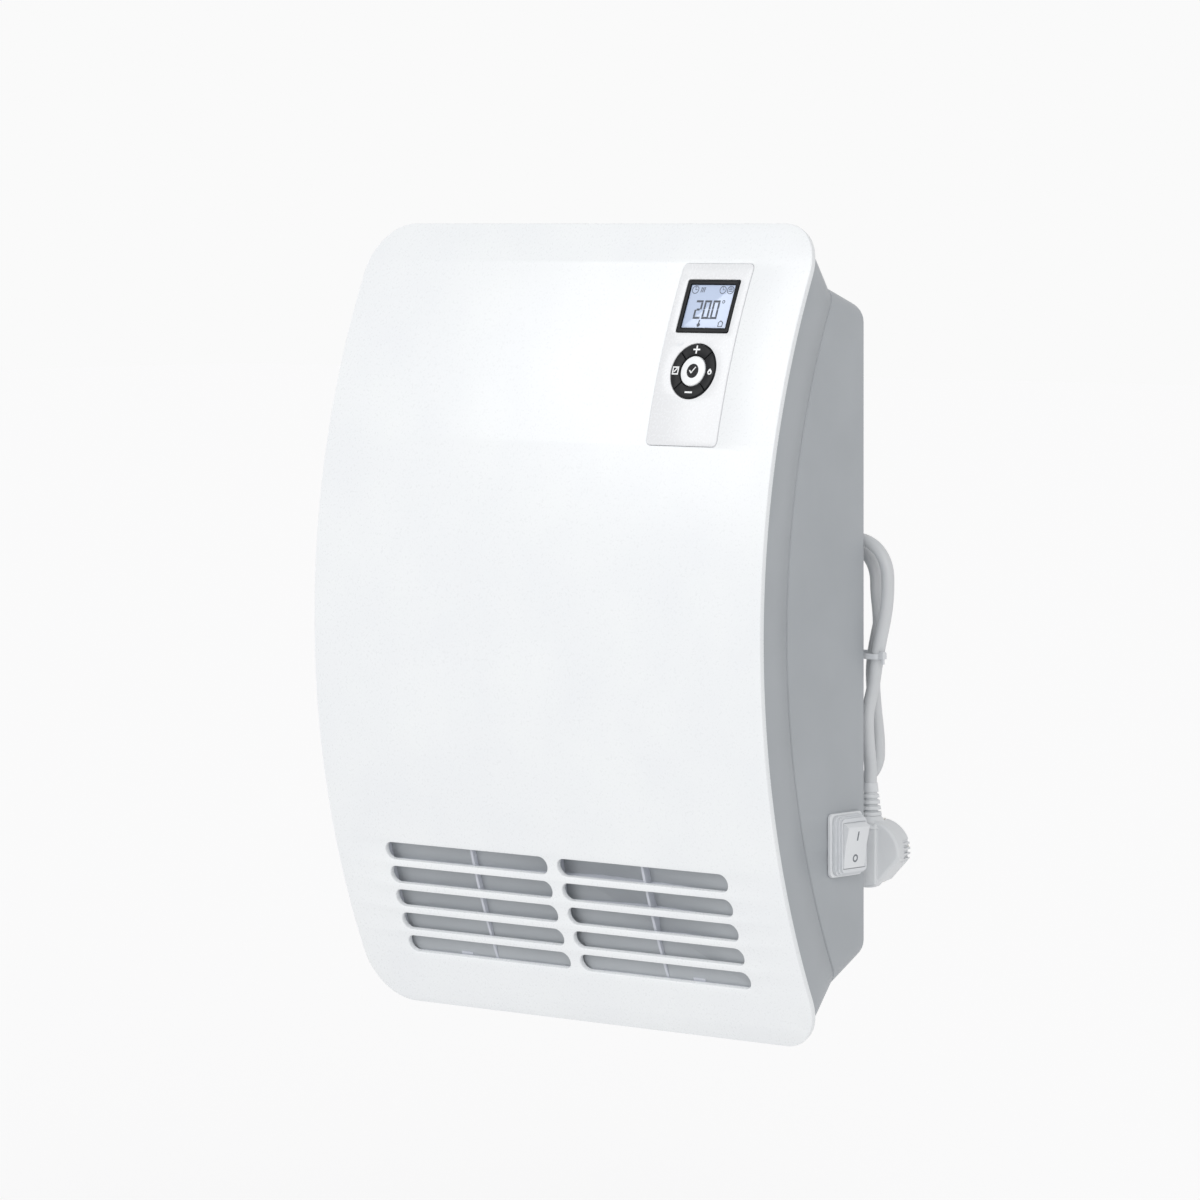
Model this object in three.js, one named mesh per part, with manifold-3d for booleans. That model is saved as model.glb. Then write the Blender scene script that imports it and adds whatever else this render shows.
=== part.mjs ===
// A bathroom wall fan heater: a bowed front panel on a flared frame, a rear housing that hangs on a
// wall bracket, a cross-flow fan that blows through two heating elements to the slots below, a
// control panel with a display and five keys, a rocker switch on the side, and a mains lead that is
// tied in a hank behind the housing.
// Millimetres. X runs to the viewer's right, Y from the room to the wall, Z up. The back of the
// housing is the plane y = 0. Heights count from the middle of the front panel; the whole heater is
// then lowered so that the origin is the middle of the wall bracket's back.
import * as THREE from "three";
import { mergeVertices } from "three/addons/utils/BufferGeometryUtils.js";
import Module from "manifold-3d";

// ---- Driving dimensions -------------------------------------------------------------------------

const GAP = 0.3; // between pieces that touch
const FIT = 0.4; // around a piece that sits in an opening

const PANEL_W = 345;
const PANEL_H = 470;
const PANEL_T = 3.5;
const PANEL_CORNER_R = 29;
const BOW_R = 502; // radius of the panel's front, seen from the side
const DEPTH = 115; // from the wall to the front of the panel at its middle
const PANEL_TOP_ARC = BOW_R * Math.asin(PANEL_H / 2 / BOW_R); // the panel's top edge, along the bow

const OVERHANG = 4; // of the panel past the frame behind it
const KNEE_DEPTH = 40; // from the panel's front to the joint of frame and housing
const KNEE_INSET = 13.5; // of that joint from the panel's side
const KNEE_TOP = PANEL_H / 2 - 35;
const KNEE_BOTTOM = 31 - PANEL_H / 2;
const KNEE_CORNER_R = 15;
const BACK_INSET = 15.6; // of the housing's back edge from the panel's side
const BACK_HALF_H = PANEL_H / 2 - 45;
const BACK_CORNER_R = 9;
const WALL = 2.5;
const SEAM = 1.2; // width of the step at the joint of frame and housing

const SLOT_ROWS = 5;
const SLOT_LENGTH = PANEL_W / 2 - 44.2;
const SLOT_HEIGHT = 11;
const SLOT_PITCH = 15.25;
const SLOT_FIRST = 102.75 - PANEL_TOP_ARC; // the top row's middle, along the bow
const SLOT_BRIDGE = 8; // between the left and the right column

const PLATE_X = PANEL_W / 2 - 68; // middle of the control plate
const PLATE_W = 52;
const PLATE_H = 109.5;
const PLATE_HIGH = PANEL_TOP_ARC - 26; // its top edge, along the bow
const PLATE_LOW = PLATE_HIGH - PLATE_H;
const PLATE_T = 2;
const PLATE_CORNER_R = 3;
const DISPLAY_W = 38.4;
const DISPLAY_H = 32.1;
const DISPLAY_ARC = PLATE_HIGH - 26.4; // middle of the display, along the bow
const DISPLAY_RIM = 2.6;
const KEYPAD_ARC = PLATE_HIGH - 65.7; // middle of the ring of keys, along the bow
const KEYPAD_R = 16.25;
const KEY_OK_R = 9;
const KEY_SPLIT = 0.5; // between neighbouring keys
const KEY_TRAVEL = 0.8;
const KEY_PROUD = 0.7;
const KEY_T = 4;

const HANG_Z = PANEL_H / 2 - 95; // the wall bracket's middle above the panel's middle
const BRACKET_W = 180;
const BRACKET_H = 40;
const BRACKET_T = 2;

const FAN_R = 29;
const FAN_LENGTH = PANEL_W - 149;
const FAN_X = 6; // middle of the fan wheel
const FAN_Y = -47;
const FAN_Z = 177 - PANEL_H / 2;
const BLADE_COUNT = 18;
const SHAFT_R = 3;
const MOTOR_R = 27;
const MOTOR_LENGTH = 30;

const SWITCH_Y = -22.3;
const SWITCH_Z = 113.8 - PANEL_H / 2;
const SWITCH_W = 29.5;
const SWITCH_H = 36.5;
const ROCKER_W = 19;
const ROCKER_H = 26;
const ROCKER_TILT = 9.4; // degrees either side of level

const CORD_R = 3.75;
const HANK_X = PANEL_W / 2 - 25; // middle of the last turn
const HANK_Y = 6; // of the last turn, the one next to the housing
const HANK_TOP = 53; // of the middle line
const HANK_BOTTOM = -91;
const HANK_TOP_R = 21.5;
const HANK_BOTTOM_R = 16;
const HANK_TURNS = 2.25;
const HANK_STEP = 10; // between neighbouring turns
const HANK_LEAN = 45; // degrees from the back to the side that the turns stand off at the tie
const HANK_LEAN_TOP = 20; // the same at the top fold
const HANK_SPREAD = 13; // how far the earlier turns lie inwards at the top
const HANK_WAIST = 5.6; // how far the tie draws each run in
const HANK_RISE = 4; // how far each earlier turn's top fold sinks
const HANK_TWIST = 36; // degrees that the lower loops turn
const HANK_DRIFT_X = -11.5; // how far they swing inwards
const HANK_DRIFT_Y = 6.5; // and off the wall
const HANK_WAIST_Z = -10;
const TIE_Z = -15;

const PLUG_R = 19.9;
const PLUG_T = 26;
const PLUG_Z = -130;
const PLUG_TURN = 20; // degrees that the plug is turned about the lead
const PLUG_X = HANK_X + 0.8; // where the lead meets it
const PLUG_Y = 16;
const RELIEF_TOP = -90;

// ---- Geometry helpers ---------------------------------------------------------------------------

const wasm = await Module();
wasm.setup();

const X = new THREE.Vector3(1, 0, 0);
const Y = new THREE.Vector3(0, 1, 0);
const Z = new THREE.Vector3(0, 0, 1);
const rad = THREE.MathUtils.degToRad;
const mix = THREE.MathUtils.lerp;
const smooth = (t) => THREE.MathUtils.smoothstep(t, 0, 1);

function solid(geometry) {
  const bare = geometry.index ? geometry.toNonIndexed() : geometry.clone();
  bare.deleteAttribute("normal");
  bare.deleteAttribute("uv");
  const merged = mergeVertices(bare, 1e-4);
  const vertProperties = new Float32Array(merged.attributes.position.array);
  const triVerts = new Uint32Array(merged.index.array);
  return new wasm.Manifold(new wasm.Mesh({ numProp: 3, vertProperties, triVerts }));
}

function geometryOf(manifold) {
  const { numProp, vertProperties, triVerts } = manifold.getMesh();
  const count = vertProperties.length / numProp;
  const position = new Float32Array(count * 3);
  for (let i = 0; i < count; i++) {
    position.set(vertProperties.subarray(i * numProp, i * numProp + 3), i * 3);
  }
  const geometry = new THREE.BufferGeometry();
  geometry.setAttribute("position", new THREE.BufferAttribute(position, 3));
  geometry.setIndex(new THREE.BufferAttribute(new Uint32Array(triVerts), 1));
  const flat = geometry.toNonIndexed();
  flat.computeVertexNormals();
  return flat;
}

const join = (...solids) => solids.reduce((a, b) => a.add(b));
const cut = (base, ...tools) => tools.reduce((a, b) => a.subtract(b), base);

// A box from one corner to the opposite one.
function box(x0, x1, y0, y1, z0, z1) {
  const geometry = new THREE.BoxGeometry(x1 - x0, y1 - y0, z1 - z0);
  return solid(geometry.translate((x0 + x1) / 2, (y0 + y1) / 2, (z0 + z1) / 2));
}

// A shape drawn in (y, z), run along X.
function alongX(shape, x0, x1, curveSegments = 12) {
  const geometry = new THREE.ExtrudeGeometry(shape, { depth: x1 - x0, bevelEnabled: false, curveSegments });
  geometry.applyMatrix4(new THREE.Matrix4().makeBasis(Y, Z, X));
  return solid(geometry.translate(x0, 0, 0));
}

// A shape drawn in (x, z), run along Y.
function alongY(shape, y0, y1, curveSegments = 12) {
  const geometry = new THREE.ExtrudeGeometry(shape, { depth: y1 - y0, bevelEnabled: false, curveSegments });
  geometry.applyMatrix4(new THREE.Matrix4().makeBasis(X, Z, Y.clone().negate()));
  return solid(geometry.translate(0, y1, 0));
}

// A shape drawn in (x, y), run along Z.
function alongZ(shape, z0, z1, curveSegments = 12) {
  const geometry = new THREE.ExtrudeGeometry(shape, { depth: z1 - z0, bevelEnabled: false, curveSegments });
  return solid(geometry.translate(0, 0, z0));
}

function rodX(r, x0, x1, y, z, sides = 24) {
  const geometry = new THREE.CylinderGeometry(r, r, x1 - x0, sides);
  geometry.rotateZ(-Math.PI / 2);
  return solid(geometry.translate((x0 + x1) / 2, y, z));
}

function rodY(r, y0, y1, x, z, sides = 16) {
  const geometry = new THREE.CylinderGeometry(r, r, y1 - y0, sides);
  return solid(geometry.translate(x, (y0 + y1) / 2, z));
}

function rodZ(r, z0, z1, x = 0, y = 0, sides = 32) {
  const geometry = new THREE.CylinderGeometry(r, r, z1 - z0, sides);
  geometry.rotateX(Math.PI / 2);
  return solid(geometry.translate(x, y, (z0 + z1) / 2));
}

function polygon(points) {
  return new THREE.Shape(points.map(([u, v]) => new THREE.Vector2(u, v)));
}

function roundedRect(u0, u1, v0, v1, r) {
  const shape = new THREE.Shape();
  shape.moveTo(u0 + r, v0);
  shape.lineTo(u1 - r, v0);
  shape.absarc(u1 - r, v0 + r, r, -Math.PI / 2, 0);
  shape.lineTo(u1, v1 - r);
  shape.absarc(u1 - r, v1 - r, r, 0, Math.PI / 2);
  shape.lineTo(u0 + r, v1);
  shape.absarc(u0 + r, v1 - r, r, Math.PI / 2, Math.PI);
  shape.lineTo(u0, v0 + r);
  shape.absarc(u0 + r, v0 + r, r, Math.PI, 1.5 * Math.PI);
  return shape;
}

// ---- The bow ------------------------------------------------------------------------------------

const bowY = (z, depth) => BOW_R - DEPTH - Math.sqrt((BOW_R - depth) ** 2 - z * z);
const bowZ = (arc) => BOW_R * Math.sin(arc / BOW_R);
const BOW_STEPS = 24;

// The layer between two depths behind the panel's front, from z0 to z1, as wide as x0 to x1.
function bowLayer(depth0, depth1, x0, x1, z0, z1, steps = BOW_STEPS) {
  const points = [];
  for (let i = 0; i <= steps; i++) {
    const z = z0 + ((z1 - z0) * i) / steps;
    points.push([bowY(z, depth1), z]);
  }
  for (let i = steps; i >= 0; i--) {
    const z = z0 + ((z1 - z0) * i) / steps;
    points.push([bowY(z, depth0), z]);
  }
  return alongX(polygon(points), x0, x1);
}

// A frame on the bow: local X is X, local Y runs up along the bow and local Z points out of it.
function bowFrame(x, arc, depth = 0) {
  const angle = arc / BOW_R;
  const group = new THREE.Group();
  const r = BOW_R - depth;
  group.position.set(x, BOW_R - DEPTH - r * Math.cos(angle), r * Math.sin(angle));
  group.rotation.x = Math.PI / 2 - angle;
  group.updateMatrix();
  return group;
}

// A solid made in a frame's own coordinates, moved to the heater's.
function placed(frame, shapeSolid) {
  const geometry = geometryOf(shapeSolid);
  return solid(geometry.applyMatrix4(frame.matrix));
}

// One outline of a lofted casing: a rounded rectangle, seen from the front, that lies on a surface.
const CORNER_STEPS = 4;
const SIDE_STEPS = 14;
function outline(half, low, high, cornerR, surface) {
  const side = [];
  for (let i = 0; i <= CORNER_STEPS; i++) {
    const a = -Math.PI / 2 + ((Math.PI / 2) * i) / CORNER_STEPS;
    side.push([half - cornerR + cornerR * Math.cos(a), low + cornerR + cornerR * Math.sin(a)]);
  }
  for (let i = 1; i < SIDE_STEPS; i++) {
    side.push([half, low + cornerR + ((high - low - 2 * cornerR) * i) / SIDE_STEPS]);
  }
  for (let i = 0; i <= CORNER_STEPS; i++) {
    const a = ((Math.PI / 2) * i) / CORNER_STEPS;
    side.push([half - cornerR + cornerR * Math.cos(a), high - cornerR + cornerR * Math.sin(a)]);
  }
  const right = side.map(([x, z]) => new THREE.Vector3(x, surface(z), z));
  const left = side.map(([x, z]) => new THREE.Vector3(-x, surface(z), z)).reverse();
  return [...right, ...left];
}

// The solid between outlines that follow each other from the front to the back.
function loft(outlines) {
  const points = outlines.flat();
  const n = outlines[0].length;
  const index = [];
  for (let k = 0; k + 1 < outlines.length; k++) {
    for (let i = 0; i < n; i++) {
      const j = (i + 1) % n;
      const a = k * n + i;
      const b = k * n + j;
      index.push(a, a + n, b, b, a + n, b + n);
    }
  }
  const last = (outlines.length - 1) * n;
  for (let i = 0; i + 1 < n / 2; i++) {
    const j = n - 1 - i;
    index.push(i, i + 1, j, i + 1, j - 1, j);
    index.push(last + i, last + j, last + i + 1, last + i + 1, last + j, last + j - 1);
  }
  const geometry = new THREE.BufferGeometry();
  geometry.setAttribute("position", new THREE.Float32BufferAttribute(points.flatMap((p) => p.toArray()), 3));
  geometry.setIndex(index);
  return solid(geometry);
}

// ---- Scene graph --------------------------------------------------------------------------------

const heater = new THREE.Group();
const body = new THREE.Group();
body.position.z = -HANG_Z;
heater.add(body);

function material(color, roughness, metalness = 0) {
  return new THREE.MeshStandardMaterial({ color, roughness, metalness });
}

const paint = {
  panel: material("#f3f5f7", 0.35),
  casing: material("#b4b9bd", 0.45),
  louvre: material("#c9ccd4", 0.5),
  plate: material("#f7f8fa", 0.3),
  black: material("#23262a", 0.35),
  lens: material("#bccbe6", 0.1),
  glass: material("#9fb2cf", 0.2),
  white: material("#e9ebec", 0.45),
  cord: material("#c3c6c8", 0.55),
  steel: material("#a9adb0", 0.35, 0.9),
  brass: material("#c9a45c", 0.3, 0.9),
  aluminium: material("#c6c9cc", 0.4, 0.8),
  copper: material("#b06a3b", 0.4, 0.8),
  board: material("#2f6b45", 0.6),
  plastic: material("#4a4e52", 0.6),
  mica: material("#cdbb94", 0.7),
  rubber: material("#2b2b2d", 0.9),
  filter: material("#6f757b", 0.9),
};

function piece(name, shape, look, parent = body) {
  const geometry = shape.isBufferGeometry ? shape : geometryOf(shape);
  const mesh = new THREE.Mesh(geometry, look);
  mesh.name = name;
  parent.add(mesh);
  return mesh;
}

// ---- Casing -------------------------------------------------------------------------------------

const halfPanel = PANEL_W / 2;
const halfKnee = halfPanel - KNEE_INSET;
const halfBack = halfPanel - BACK_INSET;
const slotX0 = SLOT_BRIDGE / 2;
const slotX1 = slotX0 + SLOT_LENGTH;
const slotArcs = Array.from({ length: SLOT_ROWS }, (_, i) => SLOT_FIRST - i * SLOT_PITCH);
const louvreTop = bowZ(slotArcs[0] + SLOT_PITCH / 2 + 1);
const louvreBottom = bowZ(slotArcs[SLOT_ROWS - 1] - SLOT_PITCH / 2 + 1.5);

const windowMargin = 4; // from the plate's edge to the hole in the panel behind it
const plateMiddle = (PLATE_LOW + PLATE_HIGH) / 2;
const plateHalf = (PLATE_HIGH - PLATE_LOW) / 2;

function plateOutline(frame, grow, depth) {
  const half = PLATE_W / 2 + grow;
  const r = Math.max(PLATE_CORNER_R + grow, 1);
  const shape = roundedRect(-half, half, -plateHalf - grow, plateHalf + grow, r);
  return placed(frame, alongZ(shape, -depth, depth, 4));
}

function frontPanel() {
  const front = roundedRect(-halfPanel, halfPanel, -PANEL_H / 2, PANEL_H / 2, PANEL_CORNER_R);
  const reach = PANEL_H / 2 + 1;
  let panel = bowLayer(0, PANEL_T, -halfPanel - 1, halfPanel + 1, -reach, reach);
  panel = panel.intersect(alongY(front, -DEPTH - 1, 0, 8));
  for (const arc of slotArcs) {
    const z0 = bowZ(arc - SLOT_HEIGHT / 2);
    const z1 = bowZ(arc + SLOT_HEIGHT / 2);
    const r = (z1 - z0) / 2 - 0.01;
    const right = alongY(roundedRect(slotX0, slotX1, z0, z1, r), -DEPTH - 1, 0, 4);
    const left = alongY(roundedRect(-slotX1, -slotX0, z0, z1, r), -DEPTH - 1, 0, 4);
    panel = cut(panel, right, left);
  }
  const frame = bowFrame(PLATE_X, plateMiddle);
  const seat = bowLayer(-1, PLATE_T + GAP, 0, halfPanel, 0, PANEL_H / 2);
  return cut(panel, plateOutline(frame, FIT, 20).intersect(seat), plateOutline(frame, -windowMargin, 20));
}

piece("front_panel", frontPanel(), paint.panel);

const frameFront = PANEL_T + GAP;
const postX = halfBack - 9;
const postZ = BACK_HALF_H - 10;
const postR = 4.5;
const screwR = 1.8;
const screwHeadR = 3.4;
const screwHeadT = 1.8;
const bossDepth = 5; // the screw's seat in the housing, measured from its back
const bossR = 6;
const postPlaces = [[-1, -1], [1, -1], [-1, 1], [1, 1]].map(([i, k]) => [i * postX, k * postZ]);

function frontFrame() {
  const frontHalf = halfPanel - OVERHANG;
  const frontHigh = PANEL_H / 2 - OVERHANG;
  const frontR = PANEL_CORNER_R - OVERHANG;
  const shells = (inset, first, last) => {
    const at = (depth) => (depth - frameFront) / (KNEE_DEPTH - frameFront);
    return [first, last].map((depth) => {
      const t = at(depth);
      return outline(
        mix(frontHalf, halfKnee, t) - inset,
        mix(-frontHigh, KNEE_BOTTOM, t) + inset,
        mix(frontHigh, KNEE_TOP, t) - inset,
        mix(frontR, KNEE_CORNER_R, t) - inset / 2,
        (z) => bowY(z, depth),
      );
    });
  };
  const flangeBack = frameFront + WALL;
  const hollow = loft(shells(WALL, flangeBack, KNEE_DEPTH + 2));
  const opening = roundedRect(-slotX1 - 5, slotX1 + 5, louvreBottom - 1.5, bowZ(PLATE_HIGH) + 1, 1);
  const flange = bowLayer(0, flangeBack + 0.5, -halfPanel, halfPanel, -PANEL_H / 2, PANEL_H / 2);
  const doorway = alongY(opening, -DEPTH - 1, 0, 4).intersect(flange);
  let frame = cut(loft(shells(0, frameFront, KNEE_DEPTH)), hollow, doorway);
  for (const [x, z] of postPlaces) {
    frame = join(frame, rodY(postR, bowY(z, flangeBack - 1), -bossDepth - GAP, x, z));
    frame = cut(frame, rodY(screwR + GAP, -bossDepth - 14, 0, x, z, 12));
  }
  return frame;
}

piece("front_frame", frontFrame(), paint.casing);

const switchX = halfBack + 1.3; // outer face of the flat pad that the switch sits on
const pocketDepth = BRACKET_T + 1.4;
const hookX = 62;
const hookHalfW = 9;
const hookDrop = 4;
const hookRise = 2;
const sleeveW = 23; // the part of the switch that passes through the housing's side
const sleeveH = 31;
const glandX = HANK_X - 98;
const glandZ = 45.3;
const glandR = 6.5;
const intakeCount = 20;
const intakePitch = 10;
const intakeSlotW = 5;
const topDepth = -bowY(KNEE_TOP, KNEE_DEPTH); // of the housing at its top edge
const intakeBack = -0.305 * topDepth; // the slots' edge towards the wall
const intakeFront = -0.745 * topDepth;

function rearHousing() {
  const kneeFront = KNEE_DEPTH + GAP;
  const outer = loft([
    outline(halfKnee - SEAM, KNEE_BOTTOM + SEAM, KNEE_TOP - SEAM, KNEE_CORNER_R, (z) => bowY(z, kneeFront)),
    outline(halfKnee, KNEE_BOTTOM, KNEE_TOP, KNEE_CORNER_R, (z) => bowY(z, kneeFront + SEAM)),
    outline(halfBack, -BACK_HALF_H, BACK_HALF_H, BACK_CORNER_R, () => 0),
  ]);
  const hollow = loft([
    outline(
      halfKnee - WALL, KNEE_BOTTOM + WALL, KNEE_TOP - WALL, KNEE_CORNER_R - WALL,
      (z) => bowY(z, kneeFront - 2),
    ),
    outline(
      halfBack - WALL, WALL - BACK_HALF_H, BACK_HALF_H - WALL, BACK_CORNER_R - WALL, () => -WALL,
    ),
  ]);
  let housing = cut(outer, hollow);
  // Flat pad for the switch, and its hole.
  const padW = SWITCH_W / 2 + 0.5;
  const padH = SWITCH_H / 2 + 0.5;
  const pad = box(halfBack - 2, switchX, SWITCH_Y - padW, SWITCH_Y + padW, SWITCH_Z - padH, SWITCH_Z + padH);
  housing = join(housing, pad);
  housing = cut(housing, box(
    halfBack - 8, switchX + 1,
    SWITCH_Y - sleeveW / 2 - FIT, SWITCH_Y + sleeveW / 2 + FIT,
    SWITCH_Z - sleeveH / 2 - FIT, SWITCH_Z + sleeveH / 2 + FIT,
  ));
  // Pocket for the wall bracket, with a hole for each of its hooks.
  const w = BRACKET_W / 2 + 3;
  const h = BRACKET_H / 2 + 3;
  const floor = pocketDepth + WALL;
  housing = join(housing, box(-w - WALL, w + WALL, -floor, -1, HANG_Z - h - WALL, HANG_Z + h + WALL));
  housing = cut(housing, box(-w, w, -pocketDepth, 1, HANG_Z - h, HANG_Z + h));
  for (const side of [-1, 1]) {
    const x = side * hookX;
    housing = cut(housing, box(
      x - hookHalfW - 1, x + hookHalfW + 1, -floor - 1, 0, HANG_Z - hookDrop, HANG_Z + hookRise + GAP,
    ));
  }
  // Air intake along the top.
  const first = (-(intakeCount - 1) / 2) * intakePitch;
  for (let i = 0; i < intakeCount; i++) {
    const x = first + i * intakePitch;
    housing = cut(housing, box(
      x - intakeSlotW / 2, x + intakeSlotW / 2, intakeFront, intakeBack, BACK_HALF_H - 4, KNEE_TOP + 1,
    ));
  }
  for (const [x, z] of postPlaces) {
    housing = join(housing, rodY(bossR, -bossDepth, -1, x, z, 16));
    housing = cut(housing, rodY(screwR + GAP, -bossDepth - 1, 1, x, z, 12));
    housing = cut(housing, rodY(screwHeadR + GAP, -screwHeadT - 2 * GAP, 1, x, z, 12));
  }
  return cut(housing, rodY(glandR + GAP, -WALL - 1, 1, glandX, glandZ, 20));
}

piece("rear_housing", rearHousing(), paint.casing);

postPlaces.forEach(([x, z], i) => {
  const head = rodY(screwHeadR, -screwHeadT - GAP, -GAP, x, z, 12);
  const shank = rodY(screwR, -bossDepth - 12, -screwHeadT, x, z, 10);
  piece("housing_screw_" + (i + 1), join(head, shank), paint.steel);
});

function wallBracket() {
  const low = HANG_Z - BRACKET_H / 2;
  const high = HANG_Z + BRACKET_H / 2;
  let bracket = alongY(roundedRect(-BRACKET_W / 2, BRACKET_W / 2, low, high, 6), -BRACKET_T, 0, 4);
  const lipBack = pocketDepth + WALL + GAP;
  for (const side of [-1, 1]) {
    const x = side * hookX;
    const arm = box(x - hookHalfW, x + hookHalfW, -lipBack - 2, -1, HANG_Z - BRACKET_T, HANG_Z);
    const lip = box(x - hookHalfW, x + hookHalfW, -lipBack - 2, -lipBack, HANG_Z - BRACKET_T, HANG_Z + 10);
    bracket = join(bracket, arm, lip);
    const slot = roundedRect(side * 34 - 7, side * 34 + 7, HANG_Z - 2.6, HANG_Z + 2.6, 2.5);
    bracket = cut(bracket, alongY(slot, -BRACKET_T - 1, 1, 4));
  }
  return bracket;
}

piece("wall_bracket", wallBracket(), paint.steel);

// ---- Air outlet ---------------------------------------------------------------------------------

const louvreDepth = 24;
const louvreHalf = slotX1 + 3;

function outletLouvre() {
  const t = 1.8;
  const front = PANEL_T + GAP + 0.2;
  const back = front + louvreDepth;
  const slope = Math.tan(rad(25));
  let grid = cut(
    box(-louvreHalf, louvreHalf, -DEPTH, 0, louvreBottom, louvreTop),
    box(-louvreHalf + t, louvreHalf - t, -DEPTH - 1, 1, louvreBottom + t, louvreTop - t),
  );
  for (const x of [-slotX1 / 2, 0, slotX1 / 2]) {
    grid = join(grid, box(x - t / 2, x + t / 2, -DEPTH, 0, louvreBottom, louvreTop));
  }
  for (const arc of slotArcs) {
    const z = bowZ(arc - SLOT_HEIGHT / 2) - t / 2;
    const y = bowY(z, front);
    const run = louvreDepth * 1.5;
    const blade = polygon([
      [y - 4, z - 4 * slope - t], [y + run, z + run * slope - t],
      [y + run, z + run * slope], [y - 4, z - 4 * slope],
    ]);
    grid = join(grid, alongX(blade, -louvreHalf + t / 2, louvreHalf - t / 2));
  }
  const slice = bowLayer(front, back, -louvreHalf - 1, louvreHalf + 1, louvreBottom - 2, louvreTop + 2, 8);
  const limits = box(-louvreHalf, louvreHalf, -DEPTH, 0, louvreBottom, louvreTop);
  return grid.intersect(slice).intersect(limits);
}

piece("outlet_louvre", outletLouvre(), paint.louvre);

// ---- Control panel ------------------------------------------------------------------------------

const keypadFrame = bowFrame(PLATE_X, KEYPAD_ARC);
const displayFrame = bowFrame(PLATE_X, DISPLAY_ARC);
const plateFrame = bowFrame(PLATE_X, plateMiddle);

function displayRect(grow) {
  const half = DISPLAY_W / 2 + grow;
  const halfH = DISPLAY_H / 2 + grow;
  return roundedRect(-half, half, -halfH, halfH, 1);
}

function controlPlate() {
  const slab = bowLayer(-GAP, PLATE_T, 0, halfPanel, 0, PANEL_H / 2, 14);
  const plate = plateOutline(plateFrame, 0, 20).intersect(slab);
  const forDisplay = placed(displayFrame, alongZ(displayRect(GAP), -9, 9, 3));
  const forKeys = placed(keypadFrame, rodZ(KEYPAD_R + GAP, -9, 9, 0, 0, 40));
  return cut(plate, forDisplay, forKeys);
}

piece("control_plate", controlPlate(), paint.plate);

const control = new THREE.Group();
body.add(control);

function inFrame(name, shape, look, frame) {
  const holder = frame.clone();
  control.add(holder);
  return piece(name, shape, look, holder);
}

const bezelBack = PANEL_T + 1.5;
const lensBack = 2.4;
const bezelOuter = alongZ(displayRect(0), -bezelBack, GAP, 3);
inFrame("display_bezel", cut(
  bezelOuter,
  alongZ(displayRect(-DISPLAY_RIM), -bezelBack - 1, 1, 3),
), paint.black, displayFrame);
const lensShape = displayRect(-DISPLAY_RIM - GAP);
inFrame("display_window", alongZ(lensShape, -lensBack, -0.5, 3), paint.lens, displayFrame);
const lcdShape = roundedRect(
  -DISPLAY_W / 2 + DISPLAY_RIM + GAP, DISPLAY_W / 2 - DISPLAY_RIM - GAP,
  -DISPLAY_H / 2 + DISPLAY_RIM + GAP, DISPLAY_H / 2 - DISPLAY_RIM - GAP, 0.8,
);
inFrame("lcd_module", alongZ(lcdShape, -bezelBack - 1.5, -lensBack - GAP, 3), paint.glass, displayFrame);

// Each outer key is a quarter of the ring.
function ringKey(middle) {
  const shape = new THREE.Shape();
  const outer = KEYPAD_R;
  const inner = KEY_OK_R + KEY_SPLIT;
  const a = Math.PI / 4 - KEY_SPLIT / 2 / outer;
  const b = Math.PI / 4 - KEY_SPLIT / 2 / inner;
  shape.absarc(0, 0, outer, middle - a, middle + a, false);
  shape.absarc(0, 0, inner, middle + b, middle - b, true);
  return alongZ(shape, KEY_PROUD - KEY_T, KEY_PROUD, 10);
}
const ringKeys = { key_heat: 0, key_plus: 1, key_menu: 2, key_minus: 3 };
for (const [name, quarter] of Object.entries(ringKeys)) {
  inFrame(name, ringKey((quarter * Math.PI) / 2), paint.black, keypadFrame);
}
inFrame("key_ok", rodZ(KEY_OK_R, KEY_PROUD - KEY_T, KEY_PROUD, 0, 0, 32), paint.white, keypadFrame);

// Behind them: a rubber mat under the keys, a tray, and the board.
const matFront = KEY_T - KEY_PROUD + KEY_TRAVEL + GAP;
const matT = 1.2;
inFrame("key_mat", rodZ(KEYPAD_R + 1, -matFront - matT, -matFront, 0, 0, 24), paint.rubber, keypadFrame);

const trayDepth = 18;
const trayHalfW = PLATE_W / 2 - 2;
const trayHalfH = plateHalf - 2;
const boardFace = trayDepth - WALL - 4; // the board's front behind the panel's front
const controlBoardT = 1.6;
const boardInset = 2.5;
function controlTray() {
  const outer = roundedRect(-trayHalfW, trayHalfW, -trayHalfH, trayHalfH, 3);
  const inner = roundedRect(2 - trayHalfW, trayHalfW - 2, 2 - trayHalfH, trayHalfH - 2, 1);
  const shell = cut(
    alongZ(outer, -trayDepth, 9, 3),
    alongZ(inner, -trayDepth + 2, 10, 3),
    box(-6, 6, -trayHalfH - 5, -trayHalfH + 5, -trayDepth + 2, -trayDepth + 6),
  );
  const behindPanel = bowLayer(PANEL_T + GAP, trayDepth + 40, 0, halfPanel, 0, PANEL_H / 2, 14);
  return placed(plateFrame, shell).intersect(behindPanel);
}
piece("control_tray", controlTray(), paint.plastic);
inFrame("control_board", box(
  -trayHalfW + boardInset, trayHalfW - boardInset,
  -trayHalfH + boardInset, trayHalfH - boardInset,
  -boardFace - controlBoardT, -boardFace,
), paint.board, plateFrame);

// ---- Fan ----------------------------------------------------------------------------------------

const wheelX0 = FAN_X - FAN_LENGTH / 2;
const wheelX1 = FAN_X + FAN_LENGTH / 2;
const discT = 2;
const bladeInner = FAN_R * 0.78;

// Origin on the fan's axis.
const fanGroup = new THREE.Group();
fanGroup.position.set(0, FAN_Y, FAN_Z);
body.add(fanGroup);

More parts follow.
